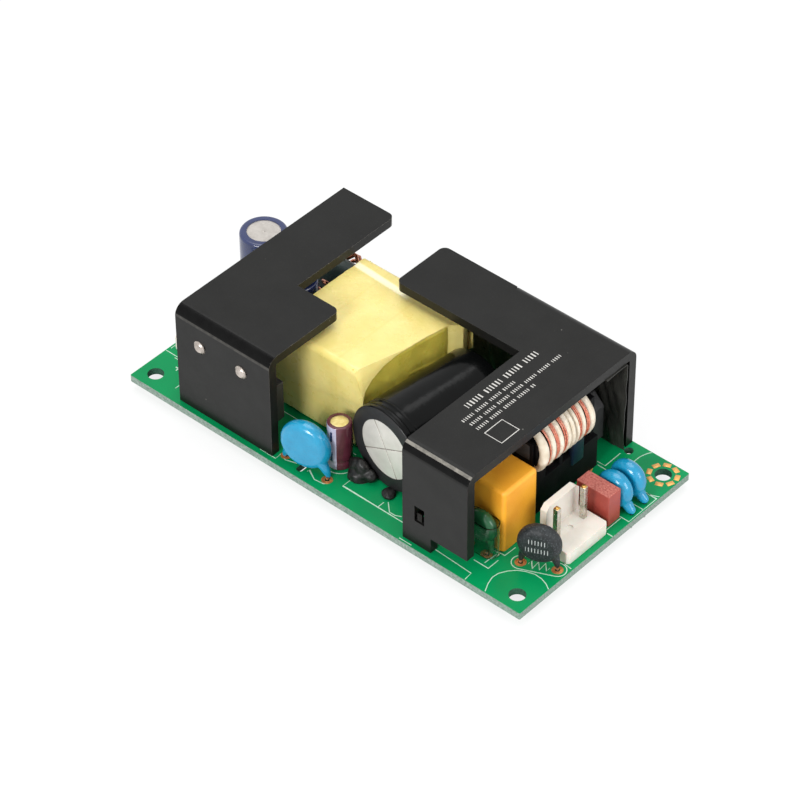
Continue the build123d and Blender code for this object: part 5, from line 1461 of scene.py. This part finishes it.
def tapePiece():
    low, high = nodeBox("transformer_tape")
    coreLow, coreHigh = nodeBox("transformer_upper_core")
    railTop = nodeBox("transformer_winding")[0].z
    loop = roundedLoop(low.y, high.y, low.z, high.z, tape["corner"], tape["step"])
    columns = tape["columns"]
    middle = (low + high) / 2
    points, faces = [], []
    for y, z in loop:
        edge = tapeEdge(y, z, high.z) + waveAt("edge", (y, z, 0))
        if z < high.z - 0.2:
            edge = min(edge, bulkFlank(y, z))
        start = low.x + waveAt("start", (y, z, 0))
        lowShare = min(1.0, max(0.0, (railTop + 0.6 - z) / 1.0))
        edge += (coreHigh.x + tape["coreMargin"] - edge) * lowShare
        start += (coreLow.x - tape["coreMargin"] - start) * lowShare
        out = Vector((0, y - middle.y, z - middle.z))
        faceOut = Vector((0, 0, 1)) if z > high.z - tape["corner"] else Vector((0, 1 if out.y > 0 else -1, 0))
        for column in range(columns + 1):
            x = start + (edge - start) * column / columns
            point = Vector((x, y, z))
            wave = tape["waviness"] * (waveAt("broad", point) + waveAt("fine", point))
            calm = min(1.0, max(0.0, (edge - x) / tape["calmEdge"]))
            point -= faceOut * max(0.0, wave) * calm
            if z > high.z - roofStep["band"]:
                # a shallow step runs along the roof near the far edge
                point.z -= roofStep["depth"] * math.exp(-((y - roofStep["at"]) / roofStep["width"]) ** 2)
            if z < high.z - sideSeam["below"] and y < middle.y:
                # the last layer's edge shows as a faint slanting step on the near side
                rise = z - sideSeam["height"] - sideSeam["slope"] * (x - sideSeam["from"])
                point.y += sideSeam["depth"] / (1 + math.exp(rise / sideSeam["width"]))
            points.append(point)
    width = columns + 1
    count = len(loop)
    for row in range(count):
        below = (row + 1) % count
        for column in range(columns):
            faces.append((row * width + column, below * width + column, below * width + column + 1,
                row * width + column + 1))
    piece = newPiece("transformerTapeWrap", points, faces)
    tidyNormals(piece, 60)
    thickened(piece, tape["thickness"], -1.0)
    whole = tidyNormals(joined("transformer_tape_wrapped", [piece, tapeFacet(low, high)]), 50)
    whole.data.materials.clear()
    return dress(whole, ["yellow_tape"], ["transformer_tape"])


def creased(y, z, lines):
    # depth of straight creases at a place on an end panel
    depth = 0.0
    for (y0, z0), (y1, z1), amount, width in lines:
        dy, dz = y1 - y0, z1 - z0
        length = math.hypot(dy, dz)
        share = min(1.0, max(0.0, ((y - y0) * dy + (z - z0) * dz) / length ** 2))
        away = math.hypot(y - y0 - dy * share, z - z0 - dz * share)
        depth += amount * math.exp(-(away / width) ** 2)
    return depth


endPanel = {"thickness": 0.25, "grid": (60, 80), "ripple": 0.12, "rippleSize": 2.6, "topRound": 0.8,
    "topInset": 0.5, "farTopRound": 1.2, "farTopInset": 0.9, "bulge": 0.25, "bulgeSpan": 28, "farShift": 0.55}
endCreases = [  # from, to, depth and width, in the plane of the end
    ((9.95, 13.7), (9.95, 22.0), -0.35, 0.25),
    ((0.6, 14.8), (11.1, 13.5), 0.3, 0.3),
    ((-10.5, 20.5), (-2.0, 13.5), 0.22, 0.6),
    ((2.0, 21.0), (8.6, 15.0), -0.16, 0.45),
]


def panelReach(y, z, roof):
    # how far the folded end reaches towards the bulk capacitor
    x = between(panelEdge, y)
    if y < tape["foldEnd"][1]:
        edgeX, edgeZ = between(facetEdge, y, 1), between(facetEdge, y, 2)
        share = min(1.0, max(0.0, (z - edgeZ) / max(0.4, roof - edgeZ)))
        x = min(x, edgeX + (roofFold(y) - edgeX) * share - 0.3 * share - 0.05)
    return x


def rolledIn(z, top, reach):
    # grows from nothing to one over the last stretch below the top
    return max(0.0, (z - top + reach) / reach) ** 2


def endPanels():
    made = []
    for side, (low, high) in enumerate(islands("transformer_end_wraps")):
        rows, columns = endPanel["grid"]
        points = []
        for row in range(rows + 1):
            z = low.z + (high.z - low.z) * row / rows
            for column in range(columns + 1):
                y = low.y + (high.y - low.y) * column / columns
                relief = creased(y, z, endCreases)
                relief += endPanel["ripple"] * rippled((y, z, side * 9), endPanel["rippleSize"], 7)
                if side:
                    x = panelReach(y, z, high.z) - 0.15 + relief * 0.7
                    x = min(x, bulkFlank(y, z))
                    x -= endPanel["topInset"] * rolledIn(z, high.z, endPanel["topRound"])
                else:
                    inset = endPanel["farTopInset"] * rolledIn(z, high.z, endPanel["farTopRound"])
                    bulge = endPanel["bulge"] * math.cos(math.pi * (y - 1.5) / endPanel["bulgeSpan"])
                    x = low.x - relief - bulge + endPanel["farShift"] + inset
                points.append((x, y, z))
        # the end wraps use the darker olive tape, painted shade
        made.append(painted(sheetOver("endPanel", points, rows, columns, endPanel["thickness"]), "end_tape"))
    return tidyNormals(joined("transformer_end_wraps_folded", made), 60)


flap = {"plan": [(1.9, 9.9), (3.4, 10.9), (4.6, 11.9), (4.5, 13.0), (3.6, 14.4)], "bottom": 12.5,
    "top": (21.9, 21.4), "thickness": 0.15, "grid": (24, 24), "ripple": 0.15, "rippleSize": 2.4, "curl": 0.3}


def tapeFlap():
    # the loose end of the outer tape that stands off at the far corner
    rows, columns = flap["grid"]
    points = []
    spans = len(flap["plan"]) - 1
    for row in range(rows + 1):
        for column in range(columns + 1):
            share = column / columns
            index = min(int(share * spans), spans - 1)
            before, after = Vector(flap["plan"][index]), Vector(flap["plan"][index + 1])
            spot = before.lerp(after, share * spans - index)
            top = flap["top"][0] + (flap["top"][1] - flap["top"][0]) * share
            z = flap["bottom"] + (top - flap["bottom"]) * row / rows
            bow = flap["ripple"] * rippled((spot.x, spot.y, z), flap["rippleSize"], 11)
            bow -= flap["curl"] * (1 - row / rows) * share
            points.append((spot.x + bow, spot.y, z))
    piece = tidyNormals(sheetOver("tape_flap", points, rows, columns, flap["thickness"]), 50)
    return dress(piece, ["yellow_tape"])


tapePiece()
dress(endPanels(), (), ["transformer_end_wraps"])
tapeFlap()
print("stage 9: transformer tape")


# Windings

choke = {"creamRadial": 0.82, "outer": 5.8, "shift": -0.4, "nearer": 1.4, "strand": 0.26, "tilt": 0.75,
    "wobble": 0.22, "rows": 72, "sides": 14, "leanFrom": 0.4, "redSink": 0.28, "redStagger": 0.14,
    "redWander": 0.1}
chokeOrder = [  # kind and width along the rod, from the near end
    ("cream", 2.0), ("red", 0.5), ("cream", 1.5), ("red", 0.95), ("cream", 1.45), ("red", 0.95),
    ("cream", 1.4), ("cream", 1.35), ("cream", 0.9), ("red", 0.95), ("cream", 1.3), ("red", 0.9),
    ("cream", 1.75),
]


def chokePieces():
    low, high = nodeBox("choke_insulated_winding")
    x, z = (low.x + high.x) / 2 + choke["shift"], (low.z + high.z) / 2
    scale = (high.y - low.y) / sum(width for kind, width in chokeOrder)
    cream, red = [], []
    y = low.y - choke["nearer"]
    for number, (kind, width) in enumerate(chokeOrder):
        width *= scale
        centre = y + width / 2
        y += width
        if kind == "cream":
            points, faces = [], []
            rows, sides = choke["rows"], choke["sides"]
            tilt = choke["tilt"] * (0.6 + 0.7 * abs(math.sin(number * 2.3)))
            for row in range(rows):
                angle = 2 * math.pi * row / rows
                lean = tilt * math.sin(angle + choke["leanFrom"] + 0.5 * math.sin(number * 1.7))
                around = Vector((number * 3.1, math.cos(angle) * 1.6, math.sin(angle) * 1.6))
                swell = 1 + choke["wobble"] * noise.noise(around)
                thick = choke["creamRadial"] * swell
                for side in range(sides):
                    turn = 2 * math.pi * side / sides
                    radial = choke["outer"] - thick + thick * math.cos(turn)
                    along = centre + lean * 0.5 + width * 0.5 * swell * math.sin(turn)
                    points.append((x + radial * math.cos(angle), along, z + radial * math.sin(angle)))
            for row in range(rows):
                for side in range(sides):
                    a, b = row * sides + side, row * sides + (side + 1) % sides
                    c, d = ((row + 1) % rows) * sides + (side + 1) % sides, ((row + 1) % rows) * sides + side
                    faces.append((a, b, c, d))
            cream.append(painted(newPiece("creamTurn", points, faces), "cream_wire"))
        else:
            strands = max(2, round(width / choke["strand"]))
            for strand in range(strands):
                offset = (strand - (strands - 1) / 2) * width / strands
                path = []
                for row in range(choke["rows"]):
                    angle = 2 * math.pi * row / choke["rows"]
                    lean = choke["tilt"] * math.sin(angle + choke["leanFrom"]) * 0.5
                    around = Vector((strand * 5.3 + number, math.cos(angle) * 1.4, math.sin(angle) * 1.4))
                    wander = choke["redWander"] * noise.noise(around)
                    reach = choke["outer"] - choke["redSink"] - choke["redStagger"] * (strand % 2) + wander
                    path.append((x + reach * math.cos(angle), centre + offset + lean + wander,
                        z + reach * math.sin(angle)))
                red.append(path)
    thick = tidyNormals(joined("choke_insulated_winding_turns", cream), 60)
    dress(thick, (), ["choke_insulated_winding"])
    thin = wires("choke_bare_winding_strands", red, choke["strand"] / 2, finishes["red_enamelled_wire"], 8,
        True)
    dress(thin, (), ["choke_bare_winding"])


chokePieces()

chokeFrame = [  # corners and edge rounding of the dark parts beside the windings
    ((35.0, 7.3, 7.0), (36.2, 10.9, 14.6), 0.35),
    ((34.9, -2.9, 6.0), (35.8, -0.1, 12.6), 0.3),
    ((34.9, 4.1, 6.0), (35.7, 5.0, 12.2), 0.25),
]


def chokeFramePiece():
    baseTop = nodeBox("choke_base")[1].z
    parts = []
    for first, last, bevel in chokeFrame:
        parts.append(boxPiece("frameBlock", first, last, bevel, 3))
        footLow = (first[0] + 0.1, first[1] + 0.3, baseTop - 0.2)
        footHigh = (last[0] - 0.1, last[1] - 0.3, first[2] + 0.4)
        parts.append(boxPiece("frameFoot", footLow, footHigh, 0.15))
    whole = joined("choke_frame", parts)
    whole.data.materials.clear()
    painted(whole, "navy_plastic", "black_phenolic")
    for face in whole.data.polygons:
        face.material_index = 0 if face.center.y / mm > 6 else 1
    dress(whole)


chokeFramePiece()

inductor = {"turns": 19, "wire": 0.43, "gap": 62.0, "inner": 3.6, "corner": 0.9, "leadBend": 2.2,
    "leadDrop": 0.86}


def inductorPieces():
    low, high = nodeBox("output_inductor_core")
    centre = (low + high) / 2
    outer, inner, width = (high.z - low.z) / 2, inductor["inner"], high.x - low.x
    wire = inductor["wire"]
    gap = math.radians(inductor["gap"] + 8)
    piece = newPiece("inductorTurns", [(0, 0, 0)], [])
    throughTree(piece, ringTurnsTree, {
        "Count": inductor["turns"], "Ring Radius": (outer + inner) / 2 * mm,
        "Start Angle": math.pi / 2 + gap / 2, "Sweep Angle": 2 * math.pi - gap,
        "Loop Width": (outer - inner + 2 * wire) * mm, "Loop Height": (width + 2 * wire) * mm,
        "Corner": inductor["corner"] * mm, "Wire Radius": wire * mm,
        "Material": finishes["enamelled_copper"]})
    turn = Matrix.Translation(centre * mm) @ Matrix(((0, 0, 1, 0), (1, 0, 0, 0), (0, 1, 0, 0), (0, 0, 0, 1)))
    piece.data.transform(turn)
    winding = nodeBox("output_inductor_winding")
    leads = []
    for y in (centre.y - outer / 2, centre.y + outer / 2):
        reach = outer + wire
        side = math.copysign(reach * 0.5, y - centre.y)
        leads.append([(centre.x, y, winding[0].z), (centre.x, y, inductor["leadBend"]),
            (centre.x, centre.y + side, centre.z - reach * inductor["leadDrop"])])
    ends = wires("inductorLeads", leads, wire, finishes["enamelled_copper"])
    whole = tidyNormals(joined("output_inductor_winding_turns", [piece, ends]), 60)
    dress(whole, (), ["output_inductor_winding"])


inductorPieces()
print("stage 10: windings")


# Insulating film

film = {"rows": 70, "columns": 110, "thickness": 0.12, "waves": 0.55, "ridges": (0.9, 2.2, 4),
    "creases": (0.25, 0.9, 6), "slant": (0.25, 0.22, 0.3), "slip": (0.35, 4.0, 8), "bendWidth": 1.0,
    "roofWaves": 0.4, "inset": 0.1}


def filmPiece():
    low, high = nodeBox("insulating_film")
    wallY, roof = high.y, high.z
    points = []
    rows, columns = film["rows"], film["columns"]
    drop, lip = roof - low.z, high.y - low.y
    for row in range(rows + 1):
        run = (drop + lip) * row / rows
        for column in range(columns + 1):
            x = low.x + (high.x - low.x) * column / columns
            if run < drop:
                y, z = wallY - film["inset"], low.z + run
            else:
                y, z = wallY - film["inset"] - (run - drop), roof - film["inset"]
            flat = 1 - math.exp(-((run - drop) / film["bendWidth"]) ** 2)
            lean, stretch, creaseStretch = film["slant"]
            depth, width, seed = film["ridges"]
            ridge = abs(rippled((x + lean * run, run * stretch, 0), width, seed)) * depth
            depth, width, seed = film["creases"]
            ridge += rippled((x, run * creaseStretch, 0), width, seed) * depth
            relief = film["waves"] * ridge * flat
            depth, width, seed = film["slip"]
            slip = depth * rippled((run, 0, 0), width, seed) * (column / columns) ** 8
            if run < drop:
                points.append((x + slip, y - relief, z))
            else:
                points.append((x + slip, y, z - relief * film["roofWaves"]))
    piece = tidyNormals(sheetOver("insulating_film_wrinkled", points, rows, columns, film["thickness"]), 60)
    return dress(piece, ["black_film"], ["insulating_film"])


filmTail = {"from": -6.0, "to": 9.3, "y": 23.1, "bottom": 2.4, "under": 0.1, "grid": (40, 40),
    "waves": 0.5, "ridges": (2.4, 14), "slip": (0.2, 4.0, 15), "calmRows": 6}


def filmTailPiece():
    # the same film hangs from the long arm, behind the transformer
    plate = plateTop - sheetThickness
    points = []
    rows, columns = filmTail["grid"]
    for row in range(rows + 1):
        z = filmTail["bottom"] + (plate - filmTail["under"] - filmTail["bottom"]) * row / rows
        for column in range(columns + 1):
            x = filmTail["from"] + (filmTail["to"] - filmTail["from"]) * column / columns
            fade = min(1.0, (rows - row) / filmTail["calmRows"])
            relief = filmTail["waves"] * abs(rippled((x + 0.2 * z, z * 0.2, 0), *filmTail["ridges"])) * fade
            depth, width, seed = filmTail["slip"]
            slip = depth * rippled((z, 0, 0), width, seed) * (1 - column / columns)
            points.append((x + slip, filmTail["y"] - relief, z))
    piece = tidyNormals(sheetOver("insulating_film_tail", points, rows, columns, film["thickness"]), 60)
    dress(piece, ["black_film"])


filmPiece()
filmTailPiece()


# Adhesive

glue = {"voxel": 0.16, "rounds": 6, "ripple": 0.3, "rippleSize": 1.2, "calmBelow": 0.1, "foot": 0.005}
glueLumps = [  # centre and reach of each lump
    ((3.3, -17.1, 3.7), (2.7, 1.35, 2.5)),
    ((5.3, -16.9, 2.9), (2.3, 1.25, 1.6)),
    ((1.9, -16.9, 3.4), (1.5, 1.2, 1.9)),
    # the last lump is a dark pillar under the near rim of the can
    ((11.2, -17.4, 2.0), (1.6, 1.6, 0.8)),
]


def adhesivePiece():
    # the CAD glue blob with lumps pressed out between the cans, and a dark pillar under the can's near rim
    parts = [mergedCopy("bulk_capacitor_adhesive", "adhesiveBase")]
    parts += [ball(centre, reach) for centre, reach in glueLumps]
    piece = unionPiece("bulk_capacitor_adhesive_set", parts, glue["voxel"], glue["rounds"])
    piece.data.materials.clear()
    for vertex in piece.data.vertices:
        point = vertex.co / mm
        if point.z > boardTop + glue["calmBelow"]:
            wave = rippled(point, glue["rippleSize"], 9)
            vertex.co = (point + vertex.normal * glue["ripple"] * wave) * mm
        vertex.co.z = max(vertex.co.z, (boardTop + glue["foot"]) * mm)
    tidyNormals(piece, 80)
    dress(piece, ["adhesive"], ["bulk_capacitor_adhesive"])


adhesivePiece()


# Underside chips

chip = {"endLength": 0.45, "inset": (0.05, 0.04, 0.04), "bodyRound": 0.05, "endRound": 0.08}
leg = {"count": 4, "pitch": 1.27, "reach": 1.0, "radius": 0.14, "height": -0.75}


def chipPieces():
    bodies, ends = [], []
    for low, high in islands("chip_parts"):
        inset = Vector(chip["inset"])
        first, last = low + inset, high - Vector((inset.x, inset.y, 0))
        bodies.append(painted(boxPiece("chipBody", first, last, chip["bodyRound"]), "chip_ceramic"))
        for x0, x1 in ((low.x, low.x + chip["endLength"]), (high.x - chip["endLength"], high.x)):
            end = boxPiece("chipEnd", (x0, low.y, low.z), (x1, high.y, high.z), chip["endRound"])
            ends.append(painted(end, "chip_ends"))
    dress(joined("chip_parts_with_ends", bodies + ends), (), ["chip_parts"])


def controllerLegs():
    low, high = nodeBox("controller_chip")
    middle = (low + high) / 2
    paths = []
    for index in range(leg["count"]):
        x = middle.x + (index - (leg["count"] - 1) / 2) * leg["pitch"]
        for side in (-1, 1):
            edge = high.y if side > 0 else low.y
            bends = ((-0.2, leg["height"]), (0.3, leg["height"]), (0.55, -0.2),
                (leg["reach"], -leg["radius"]))
            paths.append([(x, edge + side * out, z) for out, z in bends])
    dress(wires("controller_legs", paths, leg["radius"], finishes["tinned_leads"], 8))


chipPieces()
controllerLegs()
print("stage 11: film, adhesive and chips")


# Camera, light and floor

view = {"azimuth": 41.901, "elevation": 41.941, "roll": -0.457, "distance": 731.553, "lens": 167.713,
    "target": (-1.049, 4.603), "targetHeight": 1.6}


def addCamera():
    azimuth, elevation, roll = (math.radians(view[k]) for k in ("azimuth", "elevation", "roll"))
    back = Vector((math.sin(azimuth) * math.cos(elevation), -math.cos(azimuth) * math.cos(elevation),
        math.sin(elevation)))
    right = Vector((math.cos(azimuth), math.sin(azimuth), 0))
    up = back.cross(right)
    target = Vector((0, 0, view["targetHeight"])) + right * view["target"][0] + up * view["target"][1]
    rolledRight = right * math.cos(roll) + up * math.sin(roll)
    rolledUp = up * math.cos(roll) - right * math.sin(roll)
    data = bpy.data.cameras.new("photographView")
    data.lens, data.sensor_width = view["lens"], 36.0
    data.clip_start, data.clip_end = 0.01, 20.0
    camera = bpy.data.objects.new("photographView", data)
    collection.objects.link(camera)
    basis = Matrix((rolledRight, rolledUp, back)).transposed().to_4x4()
    camera.matrix_world = Matrix.Translation((target + back * view["distance"]) * mm) @ basis
    bpy.context.scene.camera = camera


lamps = {
    "overhead": {"place": (-150, 120, 900), "aim": (0, 0, 0), "size": 700, "power": 4.0},
    "front": {"place": (100, -620, 350), "aim": (0, 0, 10), "size": 240, "power": 3.2},
    "right": {"place": (720, 60, 380), "aim": (0, 0, 10), "size": 380, "power": 2.4},
}


def addLamps():
    for name, lamp in lamps.items():
        data = bpy.data.lights.new(name, "AREA")
        data.shape, data.size = "SQUARE", lamp["size"] * mm
        data.energy = lamp["power"]
        light = bpy.data.objects.new(name, data)
        collection.objects.link(light)
        light.location = Vector(lamp["place"]) * mm
        light.rotation_mode = "QUATERNION"
        light.rotation_quaternion = (Vector(lamp["aim"]) - Vector(lamp["place"])).to_track_quat("-Z", "Y")


surround = {"floorSize": 4000, "whiteStrength": 1.0, "fillStrength": 0.75, "shadowShare": 0.8}


def seenDirectly(tree):
    # one where the camera, a reflection or clear plastic sees the surface
    path = tree.nodes.new("ShaderNodeLightPath")
    cameraOrGloss = addMath(tree, "MAXIMUM", path.outputs["Is Camera Ray"], path.outputs["Is Glossy Ray"])
    return addMath(tree, "MAXIMUM", cameraOrGloss, path.outputs["Is Transmission Ray"])


def addWorld():
    world = bpy.data.worlds.new("paleRoom")
    bpy.context.scene.world = world
    world.use_nodes = True
    tree = world.node_tree
    background = tree.nodes["Background"]
    background.inputs["Color"].default_value = (1, 1, 1, 1)
    strength = addRange(tree, seenDirectly(tree), 0.0, 1.0, surround["fillStrength"],
        surround["whiteStrength"])
    tree.links.new(strength, background.inputs["Strength"])


def addFloor():
    # plain pale floor that reads white and keeps the object's shadow
    half = surround["floorSize"] / 2
    low = cadBox[0].z / mm
    floor = newPiece("floor", [(-half, -half, low), (half, -half, low), (half, half, low),
        (-half, half, low)], [(0, 1, 2, 3)])
    material = bpy.data.materials.new("paleFloor")
    material.use_nodes = True
    tree = material.node_tree
    shader, output = tree.nodes["Principled BSDF"], tree.nodes["Material Output"]
    shader.inputs["Base Color"].default_value = (0.85, 0.85, 0.85, 1)
    shader.inputs["Roughness"].default_value = 0.9
    shader.inputs["Specular IOR Level"].default_value = 0.1
    glow = tree.nodes.new("ShaderNodeEmission")
    glow.inputs["Strength"].default_value = surround["whiteStrength"]
    mix = tree.nodes.new("ShaderNodeMixShader")
    share = addMath(tree, "MULTIPLY", seenDirectly(tree), surround["shadowShare"])
    tree.links.new(share, mix.inputs[0])
    tree.links.new(shader.outputs[0], mix.inputs[1])
    tree.links.new(glow.outputs[0], mix.inputs[2])
    tree.links.new(mix.outputs[0], output.inputs["Surface"])
    floor.data.materials.append(material)


addCamera()
addLamps()
addWorld()
addFloor()
bpy.context.scene.view_settings.view_transform = "Standard"
print("stage 12: camera, lamps and floor")
